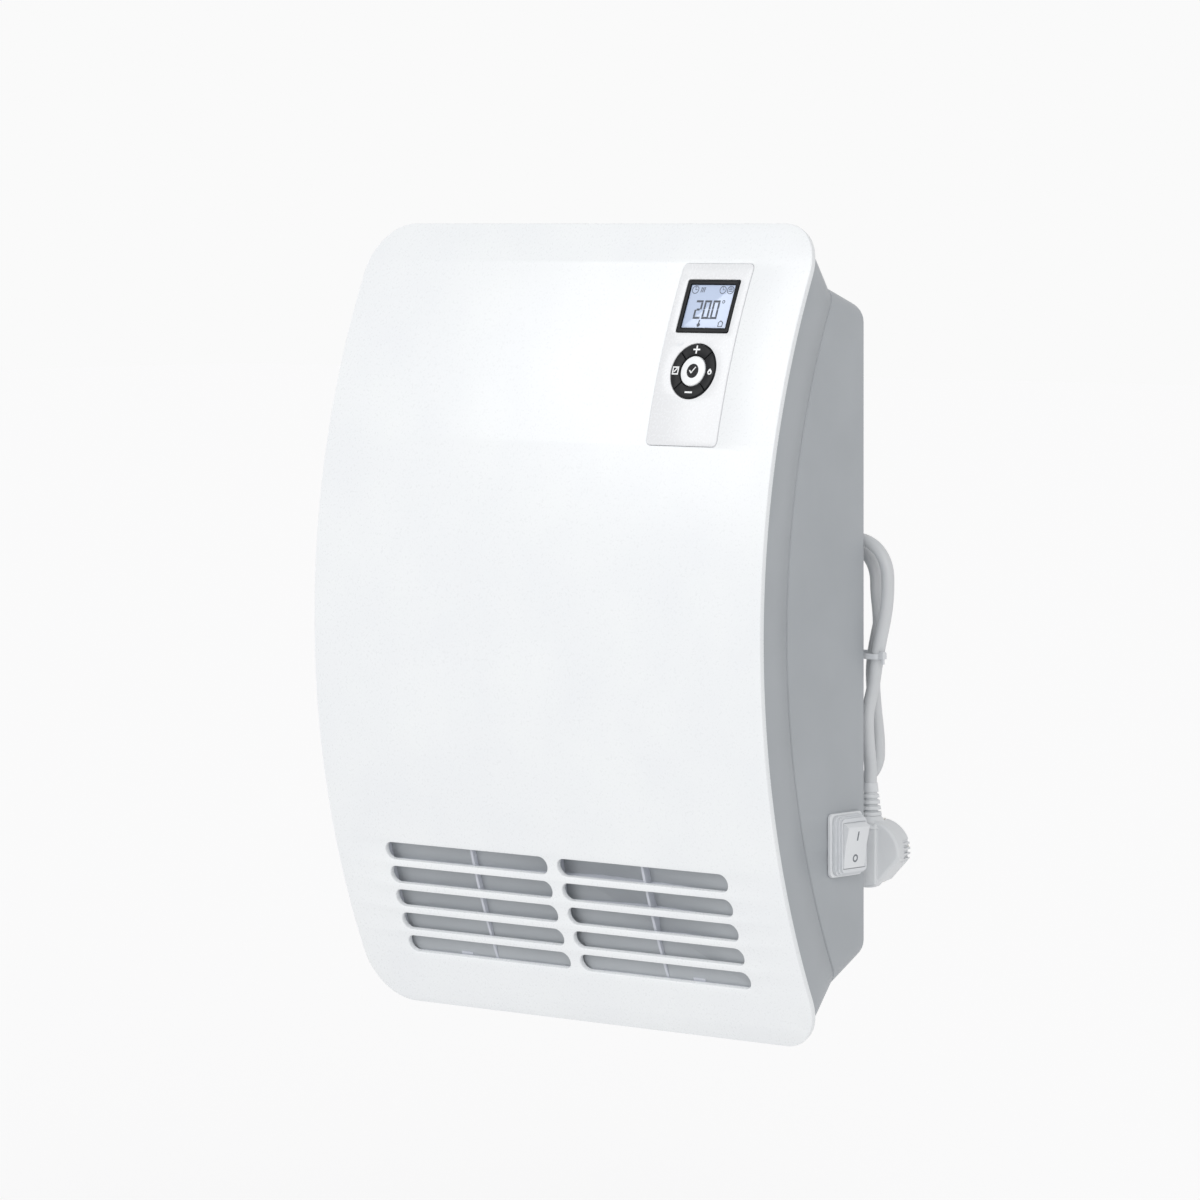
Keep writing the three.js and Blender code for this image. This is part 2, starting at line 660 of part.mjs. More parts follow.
function fanRotor() {
  let wheel = null;
  for (const x of [wheelX0, FAN_X - discT / 2, wheelX1 - discT]) {
    const disc = rodX(FAN_R - 1, x, x + discT, 0, 0, BLADE_COUNT);
    wheel = wheel ? join(wheel, disc) : disc;
  }
  const blade = polygon([[bladeInner, -1], [FAN_R, 3], [FAN_R - 0.8, 4], [bladeInner - 0.3, 0.2]]);
  for (let i = 0; i < BLADE_COUNT; i++) {
    const geometry = geometryOf(alongX(blade, wheelX0 + 0.2, wheelX1 - 0.2));
    wheel = join(wheel, solid(geometry.rotateX((2 * Math.PI * i) / BLADE_COUNT)));
  }
  const hub = rodX(SHAFT_R + 4, wheelX0, wheelX0 + 10, 0, 0, 16);
  return cut(join(wheel, hub), rodX(SHAFT_R + GAP, wheelX0 - 1, wheelX1 + 1, 0, 0, 16));
}
piece("fan_rotor", fanRotor(), paint.aluminium, fanGroup);

const motorX1 = wheelX0 - 16;
const motorX0 = motorX1 - MOTOR_LENGTH;
const bearingX = wheelX1 + 6;
const bearingT = 8;
const shaftX0 = motorX0 - 7;
const shaftX1 = bearingX + bearingT;
piece("fan_shaft", rodX(SHAFT_R, shaftX0, shaftX1, 0, 0, 16), paint.steel, fanGroup);

// Shaded-pole motor: a stack with a bore, a coil on its lower limb, a rotor on the shaft.
const motorBoreR = 12;
const rotorT = MOTOR_LENGTH - 6;
const stackT = 16;
const stackX0 = (motorX0 + motorX1) / 2 - stackT / 2;
const limbZ = -MOTOR_R - 6;
const limbHalf = 6; // half the height of the limb inside the coil
const stackHalfW = 22;
const windowHalfW = 13;
const coilHalfW = 11;
function motorStack() {
  const sheet = roundedRect(-stackHalfW, stackHalfW, limbZ - limbHalf, stackHalfW - 2, 3);
  const bore = new THREE.Path();
  bore.absarc(0, 0, motorBoreR + 0.8, 0, 2 * Math.PI, true);
  const window = roundedRect(-windowHalfW, windowHalfW, limbZ + limbHalf - 1, -motorBoreR - 4, 1);
  sheet.holes.push(bore, new THREE.Path(window.getPoints(2)));
  return alongX(sheet, stackX0, stackX0 + stackT, 10);
}
piece("motor_stack", motorStack(), paint.steel, fanGroup);
function motorCoil() {
  const outer = box(
    stackX0 - 6, stackX0 + stackT + 6, -coilHalfW, coilHalfW, limbZ - coilHalfW, limbZ + coilHalfW,
  );
  return cut(outer, box(
    stackX0 - GAP, stackX0 + stackT + GAP, -coilHalfW - 1, coilHalfW + 1,
    limbZ - limbHalf - GAP, limbZ + limbHalf - 1 + GAP,
  ));
}
piece("motor_coil", motorCoil(), paint.copper, fanGroup);
piece("motor_rotor", cut(
  rodX(motorBoreR, (motorX0 + motorX1 - rotorT) / 2, (motorX0 + motorX1 + rotorT) / 2, 0, 0, 20),
  rodX(SHAFT_R + GAP, motorX0, motorX1, 0, 0, 16),
), paint.aluminium, fanGroup);

// A bearing bridge on either side of the stack.
const bridgeT = 2;
function bearingBridge(x, name) {
  let bridge = box(x, x + bridgeT, -20, 20, -9, 9);
  bridge = cut(bridge, rodX(SHAFT_R + GAP, x - 1, x + bridgeT + 1, 0, 0, 16));
  piece(name, bridge, paint.aluminium, fanGroup);
}
bearingBridge(motorX0 - bridgeT, "motor_bridge_outer");
bearingBridge(motorX1, "motor_bridge_inner");

// Rubber-mounted bearing at the far end.
piece("end_bearing", cut(
  rodX(6, bearingX, bearingX + bearingT - 1, 0, 0, 16),
  rodX(SHAFT_R + GAP, bearingX - 1, bearingX + bearingT, 0, 0, 16),
), paint.brass, fanGroup);
piece("bearing_rubber", cut(
  rodX(10, bearingX, bearingX + bearingT - 1, 0, 0, 16),
  rodX(6 + GAP, bearingX - 1, bearingX + bearingT, 0, 0, 16),
), paint.rubber, fanGroup);

// The scroll leads the air round the wheel and down; its cheeks carry motor and bearing.
const scrollX0 = wheelX0 - 5;
const scrollX1 = wheelX1 + 4;
const cheekT = 2;
const scrollFloor = -53; // below the fan's axis
const cheekHoleR = 13;
function fanScroll() {
  const wall = 1.8;
  const back = (r) => Array.from({ length: 9 }, (_, i) => {
    const a = rad(100 - i * 15);
    const grown = r + 0.7 * i;
    return [grown * Math.cos(a), grown * Math.sin(a)];
  });
  const inner = back(FAN_R + 3);
  const outer = back(FAN_R + 3 + wall).reverse();
  const last = inner[inner.length - 1];
  const duct = [[last[0] + 1, scrollFloor], [last[0] + 1 + wall, scrollFloor]];
  let scroll = alongX(polygon([...inner, ...duct, ...outer]), scrollX0, scrollX1);
  const tongue = polygon([
    [-FAN_R - 4, -8], [-FAN_R - 4 - wall, -8], [-FAN_R - 4 - wall, scrollFloor], [-FAN_R - 4, scrollFloor],
  ]);
  scroll = join(scroll, alongX(tongue, scrollX0, scrollX1));
  const cheek = roundedRect(-FAN_R - 6, FAN_R + 12.5, scrollFloor, FAN_R + 6, 3);
  for (const x of [scrollX0 - cheekT, scrollX1]) {
    const hole = rodX(cheekHoleR, x - 1, x + cheekT + 1, 0, 0, 24);
    scroll = join(scroll, cut(alongX(cheek, x, x + cheekT), hole));
  }
  return scroll;
}
piece("fan_scroll", fanScroll(), paint.plastic, fanGroup);

// Plates that tie the motor and the far bearing to the cheeks.
const mountHalfW = FAN_R + 1;
const mountHalfH = FAN_R - 1;
const mountT = 2;
const armY = mountHalfW - 4;
const armHalfH = 10;
function motorMount() {
  const x = scrollX0 - cheekT - GAP;
  const sheet = box(x - mountT, x, -mountHalfW, mountHalfW, -mountHalfH, mountHalfH);
  const plate = cut(sheet, rodX(cheekHoleR, x - mountT - 1, x + 1, 0, 0, 24));
  const arms = [-armY, armY].map((y) => {
    return box(motorX0 - 10, x, y - mountT / 2, y + mountT / 2, -armHalfH, armHalfH);
  });
  return join(plate, ...arms);
}
piece("motor_mount", motorMount(), paint.steel, fanGroup);
piece("bearing_mount", cut(
  box(scrollX1 + cheekT + GAP, bearingX + bearingT - 2, -18, 18, -18, 18),
  rodX(10 + GAP, scrollX1, bearingX + bearingT, 0, 0, 20),
), paint.plastic, fanGroup);

// ---- Heating elements ---------------------------------------------------------------------------

const heaterTop = FAN_Z + scrollFloor - GAP;
const heaterH = 18;
const heaterY0 = FAN_Y - FAN_R - 5.8;
const heaterY1 = FAN_Y + 41.5;
const heaterWall = 2;
const elementGap = 1;
function heaterFrame() {
  const frame = box(scrollX0 - 2, scrollX1 + 2, heaterY0, heaterY1, heaterTop - heaterH, heaterTop);
  return cut(frame, box(
    scrollX0, scrollX1, heaterY0 + heaterWall, heaterY1 - heaterWall,
    heaterTop - heaterH - 1, heaterTop + 1,
  ));
}
piece("heater_frame", heaterFrame(), paint.mica);

const elementCount = 2;
const elementRoom = (heaterY1 - heaterY0 - 2 * heaterWall - (elementCount + 1) * elementGap) / elementCount;
function heatingElement(y0) {
  const y1 = y0 + elementRoom;
  const x0 = scrollX0 + GAP;
  const x1 = scrollX1 - GAP;
  const z0 = heaterTop - heaterH + 3;
  const z1 = heaterTop - 3;
  const middle = (y0 + y1) / 2;
  let element = box(x0, x1, middle - 1.5, middle + 1.5, z0, z1);
  const fins = 16;
  for (let i = 0; i < fins; i++) {
    const x = x0 + 6 + ((x1 - x0 - 12) * i) / (fins - 1);
    element = join(element, box(x - 0.5, x + 0.5, y0, y1, z0 + 0.5, z1 - 0.5));
  }
  return element;
}
for (let i = 0; i < elementCount; i++) {
  const y0 = heaterY0 + heaterWall + elementGap + i * (elementRoom + elementGap);
  piece("heating_element_" + (i + 1), heatingElement(y0), paint.aluminium);
}
const cutoutY = heaterY1 - 12;
const cutoutZ = heaterTop - heaterH / 2;
piece("thermal_cutout", join(
  rodX(8, scrollX0 - 12, scrollX0 - 2 - GAP, cutoutY, cutoutZ, 20),
  rodX(6, scrollX0 - 16, scrollX0 - 11, cutoutY, cutoutZ, 20),
), paint.mica);
piece("thermal_fuse", rodX(
  2.5, FAN_X - 14, FAN_X + 14, (heaterY0 + heaterY1) / 2, heaterTop - heaterH - 3, 12,
), paint.white);

// ---- Electrics ----------------------------------------------------------------------------------

const boardX0 = -40;
const boardX1 = 80;
const boardZ0 = 8;
const boardZ1 = 88;
const boardFront = -26;
const boardT = 1.6;
const postInset = 6; // of the board's stand-offs from its edges
function powerBoard() {
  let board = box(boardX0, boardX1, boardFront - boardT, boardFront, boardZ0, boardZ1);
  for (const x of [boardX0 + postInset, boardX1 - postInset]) {
    for (const z of [boardZ0 + postInset, boardZ1 - postInset]) {
      board = join(board, rodY(3, boardFront - 1, -WALL - GAP, x, z, 10));
    }
  }
  return board;
}
piece("power_board", powerBoard(), paint.board);
const onBoard = boardFront - boardT - GAP;
const relayW = 19;
const relayH = 16;
const relayDepth = 15;
const relayZ = boardZ0 + 44;
[boardX0 + 10, boardX0 + 36].forEach((x, i) => {
  const relay = box(x, x + relayW, onBoard - relayDepth, onBoard, relayZ, relayZ + relayH);
  piece("relay_" + (i + 1), relay, paint.black);
});

function terminalBlock() {
  const x0 = boardX1 - 42;
  let block = box(x0, x0 + 34, onBoard - 14, onBoard, boardZ0 + 12, boardZ0 + 28);
  for (let i = 0; i < 3; i++) {
    const x = x0 + 6 + i * 11;
    block = cut(block, rodY(2.4, onBoard - 15, onBoard - 8, x, boardZ0 + 20, 10));
  }
  return block;
}
piece("terminal_block", terminalBlock(), paint.plastic);
const sensorX = 26 - halfBack;
const sensorTop = BACK_HALF_H - 20;
const sensorBack = -WALL - GAP;
piece("room_sensor", join(
  box(sensorX - 6, sensorX + 6, sensorBack - 6, sensorBack, sensorTop - 20, sensorTop),
  rodZ(2.5, sensorTop - 1, sensorTop + 8, sensorX, sensorBack - 3, 12),
), paint.white);

const filterHalfW = (intakeCount * intakePitch) / 2;
const filterTop = BACK_HALF_H - 6.5;
const filterT = 2.5;
const filterCells = 10;
function intakeFilter() {
  const front = -0.885 * topDepth;
  const back = -0.2 * topDepth;
  let filter = box(-filterHalfW, filterHalfW, front, back, filterTop - filterT, filterTop);
  const cell = (2 * filterHalfW) / filterCells;
  for (let i = 0; i < filterCells; i++) {
    const x = -filterHalfW + (i + 0.5) * cell;
    const half = cell / 2 - 2;
    filter = cut(filter, box(
      x - half, x + half, front + 2, back - 2, filterTop - filterT - 1, filterTop + 1,
    ));
  }
  return filter;
}
piece("intake_filter", intakeFilter(), paint.filter);

// ---- Mains switch -------------------------------------------------------------------------------

const flangeT = 2.4;
const flangeX0 = switchX + GAP;
const flangeX1 = flangeX0 + flangeT;
const pivotX = flangeX1 + 0.3;
const bootX0 = flangeX1 + GAP;
const sleeveWall = 1.2;

// A rounded rectangle in (y, z) about the switch's middle.
function switchRect(width, height, r) {
  return roundedRect(
    SWITCH_Y - width / 2, SWITCH_Y + width / 2, SWITCH_Z - height / 2, SWITCH_Z + height / 2, r,
  );
}

function switchBezel() {
  const flange = alongX(switchRect(SWITCH_W, SWITCH_H, 3), flangeX0, flangeX1, 4);
  const sleeve = alongX(switchRect(sleeveW, sleeveH, 1.5), flangeX0 - 9, flangeX0 + 1, 4);
  const bore = switchRect(sleeveW - 2 * sleeveWall, sleeveH - 2 * sleeveWall, 1);
  return cut(join(flange, sleeve), alongX(bore, flangeX0 - 10, flangeX1 + 1, 4));
}
piece("switch_bezel", switchBezel(), paint.white);

const tabY = 6.5; // of the terminal tabs from the switch's middle
const tabZ = 7;
const tabHalfH = 3;
const switchBack = flangeX0 - 26;
function switchBody() {
  let block = alongX(switchRect(sleeveW, sleeveH, 1.5), switchBack, flangeX0 - 9 - GAP, 4);
  for (const y of [SWITCH_Y - tabY, SWITCH_Y + tabY]) {
    for (const z of [SWITCH_Z - tabZ, SWITCH_Z + tabZ]) {
      block = join(block, box(switchBack - 8, switchBack + 1, y - 0.5, y + 0.5, z - tabHalfH, z + tabHalfH));
    }
  }
  return block;
}
piece("switch_body", switchBody(), paint.plastic);

// Splash boot: a ring with steps that narrow towards the rocker.
const bootSteps = 3;
const bootStepT = 1;
const bootHoleW = ROCKER_W + 1.6;
const bootHoleH = ROCKER_H + 3.6;
function switchBoot() {
  let boot = null;
  for (let i = 0; i < bootSteps; i++) {
    const shrink = 1.6 * i;
    const rect = switchRect(SWITCH_W - 3.4 - shrink, SWITCH_H - 2.6 - shrink, 3);
    const ring = alongX(rect, bootX0 + i * bootStepT - 0.2 * Math.sign(i), bootX0 + (i + 1) * bootStepT, 4);
    boot = boot ? join(boot, ring) : ring;
  }
  return cut(boot, alongX(switchRect(bootHoleW, bootHoleH, 1.5), bootX0 - 1, bootX0 + 5, 4));
}
piece("switch_boot", switchBoot(), paint.white);

// The rocker, drawn level about its pivot in (x, z) and then tipped to its rest, lower end in.
const rockerGroup = new THREE.Group();
rockerGroup.position.set(pivotX, SWITCH_Y, SWITCH_Z);
rockerGroup.rotation.y = rad(ROCKER_TILT);
body.add(rockerGroup);
const rockerFace = 6.6; // from the pivot to the face
function switchRocker() {
  const h = ROCKER_H / 2;
  const side = polygon([
    [-4, -h + 4], [0, -h + 1.4], [rockerFace - 0.8, -h], [rockerFace, -h + 0.8],
    [rockerFace - 0.7, 0],
    [rockerFace, h - 0.8], [rockerFace - 0.8, h], [0, h - 1.4], [-4, h - 4],
  ]);
  return alongY(side, -ROCKER_W / 2, ROCKER_W / 2);
}
piece("switch_rocker", switchRocker(), paint.white, rockerGroup);

// ---- Mains lead ---------------------------------------------------------------------------------

// A tube along a curve whose points are spaced by its own parameter.
class Route extends THREE.Curve {
  constructor(pointAt) {
    super();
    this.pointAt = pointAt;
  }
  getPoint(t) {
    return this.pointAt(t);
  }
  getPointAt(t) {
    return this.pointAt(t);
  }
  getTangentAt(t) {
    return this.getTangent(t);
  }
}

function section(r, sides) {
  return new THREE.Shape(Array.from({ length: sides }, (_, i) => {
    const a = (2 * Math.PI * i) / sides;
    return new THREE.Vector2(r * Math.cos(a), r * Math.sin(a));
  }));
}

function tube(curve, steps, r = CORD_R, sides = 8) {
  const options = { steps, extrudePath: curve, bevelEnabled: false };
  return solid(new THREE.ExtrudeGeometry(section(r, sides), options));
}

// The hank's middle line: it winds clockwise as seen from the room, each turn nearer the housing
// than the one before it. The tie draws the runs together, and below it the loops turn and swing.
const hankTopZ = HANK_TOP - HANK_TOP_R;
const hankBottomZ = HANK_BOTTOM + HANK_BOTTOM_R;
const topQuarter = (Math.PI / 2) * HANK_TOP_R;
const runLength = hankTopZ - hankBottomZ;
const bottomFold = Math.PI * HANK_BOTTOM_R;
const turnLength = 2 * topQuarter + 2 * runLength + bottomFold;

// Half the width of a turn, at a share of the way down its straight run.
function hankSide(share) {
  const waist = HANK_WAIST * Math.sin(Math.PI * share) ** 3;
  return mix(HANK_TOP_R, HANK_BOTTOM_R, smooth(share)) - waist;
}

function hankPoint(turns) {
  const left = HANK_TURNS - turns;
  const along = (turns % 1) * turnLength;
  let u = 0;
  let z = 0;
  if (along < topQuarter || along >= turnLength - topQuarter) {
    const a = (along < topQuarter ? along : along - turnLength) / HANK_TOP_R;
    u = HANK_TOP_R * Math.sin(a);
    z = hankTopZ + HANK_TOP_R * Math.cos(a);
  } else if (along < topQuarter + runLength) {
    const share = (along - topQuarter) / runLength;
    u = hankSide(share);
    z = mix(hankTopZ, hankBottomZ, share);
  } else if (along < topQuarter + runLength + bottomFold) {
    const a = (along - topQuarter - runLength) / HANK_BOTTOM_R;
    u = HANK_BOTTOM_R * Math.cos(a);
    z = hankBottomZ - HANK_BOTTOM_R * Math.sin(a);
  } else {
    const share = (turnLength - topQuarter - along) / runLength;
    u = -hankSide(share);
    z = mix(hankTopZ, hankBottomZ, share);
  }
  const below = (HANK_WAIST_Z - z) / (HANK_WAIST_Z - hankBottomZ);
  const above = smooth((z - HANK_WAIST_Z) / (hankTopZ - HANK_WAIST_Z));
  const hang = smooth(below);
  const drift = smooth(1.3 * below);
  const lean = rad(mix(HANK_LEAN, HANK_TWIST, hang) + (HANK_LEAN_TOP - HANK_LEAN) * above);
  const twist = rad(HANK_TWIST * hang);
  const inwards = HANK_STEP * left * Math.sin(lean) + HANK_SPREAD * smooth(left) * above;
  const off = HANK_STEP * left * Math.cos(lean);
  return new THREE.Vector3(
    HANK_X + u * Math.cos(twist) - inwards + HANK_DRIFT_X * drift,
    HANK_Y + u * Math.sin(twist) + off + HANK_DRIFT_Y * drift,
    z - HANK_RISE * left * above,
  );
}

const hankStart = hankPoint(0);
const hankEnd = hankPoint(HANK_TURNS);
const leadEnd = CORD_R * 2; // the straight length at either end of the hank
const startWay = hankPoint(0.008).sub(hankStart).normalize();
const endWay = hankEnd.clone().sub(hankPoint(HANK_TURNS - 0.008)).normalize();

function hankRoute() {
  const first = hankStart.clone().addScaledVector(startWay, -leadEnd);
  const last = hankEnd.clone().addScaledVector(endWay, leadEnd);
  const loops = Math.round(HANK_TURNS * 30);
  const steps = loops + 2;
  const route = new Route((t) => {
    const s = t * steps;
    if (s < 1) {
      return first.clone().lerp(hankStart, s);
    }
    if (s > loops + 1) {
      return hankEnd.clone().lerp(last, s - loops - 1);
    }
    return hankPoint(((s - 1) / loops) * HANK_TURNS);
  });
  return { route, steps, first, last };
}
const hank = hankRoute();

// The least gap of the hank's tube to itself, between points more than two diameters apart along it.
function leastGap(route, samples) {
  const points = route.getPoints(samples);
  const along = [0];
  for (let i = 1; i <= samples; i++) {
    along.push(along[i - 1] + points[i].distanceTo(points[i - 1]));
  }
  let least = Infinity;
  for (let i = 0; i <= samples; i++) {
    for (let j = i + 1; j <= samples; j++) {
      if (along[j] - along[i] > 5 * CORD_R) {
        least = Math.min(least, points[i].distanceTo(points[j]));
      }
    }
  }
  return { gap: least - 2 * CORD_R, length: along[samples] };
}
const hankMeasure = leastGap(hank.route, 600);

piece("cord_hank", tube(hank.route, hank.steps, CORD_R, 6), paint.cord);

// From the gland's sleeve, which leads the cord out sideways, to the start of the hank.
const glandOut = 6.5; // from the housing to the middle of the sleeve's root
const sleeveWay = new THREE.Vector3(30, 11, -1).normalize();
const sleeveRoot = new THREE.Vector3(glandX, glandOut, glandZ);
const sleeveTip = sleeveRoot.clone().addScaledVector(sleeveWay, 26);
const exitRoute = new THREE.CatmullRomCurve3([
  sleeveTip.clone().addScaledVector(sleeveWay, GAP),
  sleeveTip.clone().addScaledVector(sleeveWay, GAP + 6),
  hank.first.clone().addScaledVector(startWay, -3 * CORD_R).add(new THREE.Vector3(0, -1, 0.3)),
  hank.first.clone().addScaledVector(startWay, -GAP),
]);
piece("cord_exit_run", tube(exitRoute, 12), paint.cord);

// From the end of the hank down to the plug.
const plugRoute = new THREE.CatmullRomCurve3([
  hank.last.clone().addScaledVector(endWay, GAP),
  hank.last.clone().addScaledVector(endWay, 8),
  new THREE.Vector3(PLUG_X + 3.5, PLUG_Y - 7, -50),
  new THREE.Vector3(PLUG_X, PLUG_Y, RELIEF_TOP + 8),
  new THREE.Vector3(PLUG_X, PLUG_Y, RELIEF_TOP + GAP),
]);
piece("cord_plug_run", tube(plugRoute, 12), paint.cord);
console.log(
  "hank: least gap " + hankMeasure.gap.toFixed(2) + " mm, length " + hankMeasure.length.toFixed(0) +
  " mm; runs " + exitRoute.getLength().toFixed(0) + " and " + plugRoute.getLength().toFixed(0) + " mm",
);

function cordGland() {
  const sleeveR = glandR + 0.6;
  const cone = new THREE.CylinderGeometry(CORD_R + 1, sleeveR, sleeveRoot.distanceTo(sleeveTip), 12);
  cone.applyQuaternion(new THREE.Quaternion().setFromUnitVectors(Y, sleeveWay));
  const middle = sleeveRoot.clone().lerp(sleeveTip, 0.5);
  const elbow = new THREE.SphereGeometry(sleeveR, 12, 8);
  const gland = join(
    rodY(glandR, -WALL - 6, glandOut, glandX, glandZ, 12),
    rodY(glandR + 3.5, GAP, 2.5, glandX, glandZ, 16),
    solid(elbow.translate(...sleeveRoot)),
    solid(cone.translate(...middle)),
    rodY(glandR + 2, -WALL - 6, -WALL - GAP, glandX, glandZ, 6),
  );
  return cut(gland, rodY(CORD_R + GAP, -WALL - 7, -WALL - 2, glandX, glandZ, 12));
}
piece("cord_gland", cordGland(), paint.white);

// The tie goes round the runs of the hank.
const TIE_T = 1.1;
function cordTie() {
  const near = HANK_Y - CORD_R;
  const far = near + 23;
  const left = HANK_X - 28.9;
  const right = left + 47;
  const outerShape = roundedRect(left - TIE_T, right + TIE_T, near - TIE_T, far + TIE_T, 5);
  const innerShape = roundedRect(left, right, near, far, 4);
  const outer = alongZ(outerShape, TIE_Z - 1.5, TIE_Z + 1.5, 4);
  const inner = alongZ(innerShape, TIE_Z - 3, TIE_Z + 3, 4);
  const knotX = right + TIE_T;
  const knot = box(knotX - 0.5, knotX + 3.5, near + 2, near + 5, TIE_Z - 1.2, TIE_Z + 2.6);
  return cut(join(outer, knot), inner);
}
piece("cord_tie", cordTie(), paint.white);

// The plug, drawn about the lead's line: local Y points where its pins point.
const plugGroup = new THREE.Group();
plugGroup.position.set(PLUG_X, PLUG_Y, PLUG_Z);
plugGroup.rotation.z = rad(PLUG_TURN);
body.add(plugGroup);
const plugBack = -7.5; // from the lead's line to the plug's back
const pinGap = 19;
const pinR = 2.4;
const pinLength = 19;
const plugFlat = 16.5; // from the plug's middle to the flats at its lower corners
const spineHalfW = 5.5;
const neckR = 6.6;
const neckTop = PLUG_R + 1.5;
const plugFace = PLUG_T + plugBack;
function plugBody() {
  const r = PLUG_R;
  const profile = [
    [0, 0], [r - 5, 0], [r - 2, 0.8], [r - 0.5, 2.6], [r, 5], [r, 9],
    [r - 1.5, 10], [r - 1.5, PLUG_T], [0, PLUG_T],
  ];
  const lathe = new THREE.LatheGeometry(profile.map(([u, v]) => new THREE.Vector2(u, v)), 28);
  let plug = solid(lathe.translate(0, plugBack, 0));
  const neck = rodZ(neckR, r - 4, neckTop, 0, 0, 12);
  const spine = box(-spineHalfW, spineHalfW, plugBack - 1.4, 0, -r + 6, r - 1);
  plug = join(plug, neck, spine);
  for (const turn of [42, 138]) {
    const block = geometryOf(box(plugFlat, r + 5, plugBack - 3, plugFace + 1, -r, r));
    plug = cut(plug, solid(block.rotateY(rad(turn))));
  }
  for (const side of [-1, 1]) {
    const x = (side * pinGap) / 2;
    const z = side * (r - 0.2);
    plug = cut(plug,
      rodY(pinR + GAP, plugFace - 6, plugFace + 1, x, 0, 12),
      box(side * r - 2, side * r + 2, plugBack + 10.5, plugFace + 1, -2.5, 2.5),
      box(-4.3, 4.3, plugBack + 9, plugFace + 1, z - 2.5, z + 2.5),
    );
  }
  return plug;
}
piece("plug_body", plugBody(), paint.cord, plugGroup);
[-1, 1].forEach((side, i) => {
  const pin = rodY(pinR, plugFace - 5.5, plugFace + pinLength, (side * pinGap) / 2, 0, 12);
  piece("plug_pin_" + (i + 1), pin, paint.brass, plugGroup);
  const z = side * (PLUG_R - 2.4);
  const clip = box(-4, 4, plugBack + 11, plugFace - 1, Math.min(z, z + side), Math.max(z, z + side));
  piece("plug_earth_clip_" + (i + 1), clip, paint.brass, plugGroup);
});

// The sleeve that guards the lead against bending: smooth above, ribbed down to the plug.
function plugRelief() {
  const top = RELIEF_TOP - PLUG_Z;
  const bottom = neckTop + GAP;
  const ribs = 4;
  const pitch = 3.4;
  let relief = rodZ(CORD_R + 0.8, bottom, top, 0, 0, 12);
  for (let i = 0; i < ribs; i++) {
    const z = bottom + i * pitch;
    relief = join(relief, rodZ(CORD_R + 2.2 - i * 0.3, z, z + pitch * 0.62, 0, 0, 12));
  }
  return relief;
}
piece("plug_relief", plugRelief(), paint.cord, plugGroup);

export default heater;
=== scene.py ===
# A bathroom wall fan heater, dressed: its bowed white panel on a grey flared frame, the housing behind it,
# the control plate with display and keys, the outlet grille, the rocker switch, and the mains lead that is
# tied in a hank behind the housing and ends in its plug.
# Lengths are written in millimetres and turned to metres where a piece is made. X runs to the viewer's
# right, Y from the room to the wall, Z up.
from math import asin, cos, degrees, pi, radians, sin, sqrt

import bmesh
import bpy
from mathutils import Euler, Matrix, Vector


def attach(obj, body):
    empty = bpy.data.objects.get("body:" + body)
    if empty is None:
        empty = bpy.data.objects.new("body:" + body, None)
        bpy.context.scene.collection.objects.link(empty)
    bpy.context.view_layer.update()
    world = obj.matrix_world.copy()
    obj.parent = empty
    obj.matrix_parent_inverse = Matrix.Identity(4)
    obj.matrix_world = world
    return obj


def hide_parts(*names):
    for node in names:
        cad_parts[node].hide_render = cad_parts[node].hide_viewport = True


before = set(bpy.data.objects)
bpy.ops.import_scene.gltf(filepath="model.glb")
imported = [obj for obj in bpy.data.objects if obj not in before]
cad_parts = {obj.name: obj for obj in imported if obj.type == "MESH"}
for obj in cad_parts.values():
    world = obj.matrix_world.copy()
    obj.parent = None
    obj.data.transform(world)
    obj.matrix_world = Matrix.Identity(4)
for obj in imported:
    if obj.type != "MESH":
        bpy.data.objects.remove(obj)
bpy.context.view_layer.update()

# ---- Sizes, the same as the solid model's ---------------------------------------------------------

MM = 0.001
GAP = 0.3
PANEL_HALF_W = 172.5
PANEL_HALF_H = 235.0
PANEL_T = 3.5
BOW_R = 502.0  # radius of the panel's front, seen from the side
DEPTH = 115.0  # from the wall to the front of the panel
HANG_Z = 140.0  # the bracket, where Z is 0, above the panel's middle
CORD_R = 3.75
WALL = 2.5  # of frame and housing


def arc_at(height, depth=0.0):
    """Length along the bow from the panel's middle to where the layer at a depth reaches a height."""
    return BOW_R * asin(height / (BOW_R - depth))


def bow_y(height, depth):
    """Y of the surface that lies a depth behind the panel's front, at a height above the panel's middle."""
    return BOW_R - DEPTH - sqrt((BOW_R - depth) ** 2 - height ** 2)


def bow_z(arc):
    return BOW_R * sin(arc / BOW_R)


# ---- Modelling helpers ----------------------------------------------------------------------------


def work_on(*pieces):
    """Selects these pieces only, in object mode."""
    if bpy.context.mode != "OBJECT":
        bpy.ops.object.mode_set(mode="OBJECT")
    bpy.ops.object.select_all(action="DESELECT")
    for piece in pieces:
        piece.select_set(True)
    bpy.context.view_layer.objects.active = pieces[0]


def clear_selection():
    if bpy.context.mode != "OBJECT":
        bpy.ops.object.mode_set(mode="OBJECT")
    bpy.ops.object.select_all(action="DESELECT")


def block(name, x0, x1, y0, y1, z0, z1):
    """A cube primitive from one corner to the opposite one."""
    clear_selection()
    centre = Vector(((x0 + x1) / 2, (y0 + y1) / 2, (z0 + z1) / 2)) * MM
    size = (abs(x1 - x0) * MM, abs(y1 - y0) * MM, abs(z1 - z0) * MM)
    bpy.ops.mesh.primitive_cube_add(size=1, location=centre, scale=size)
    return settle(name)


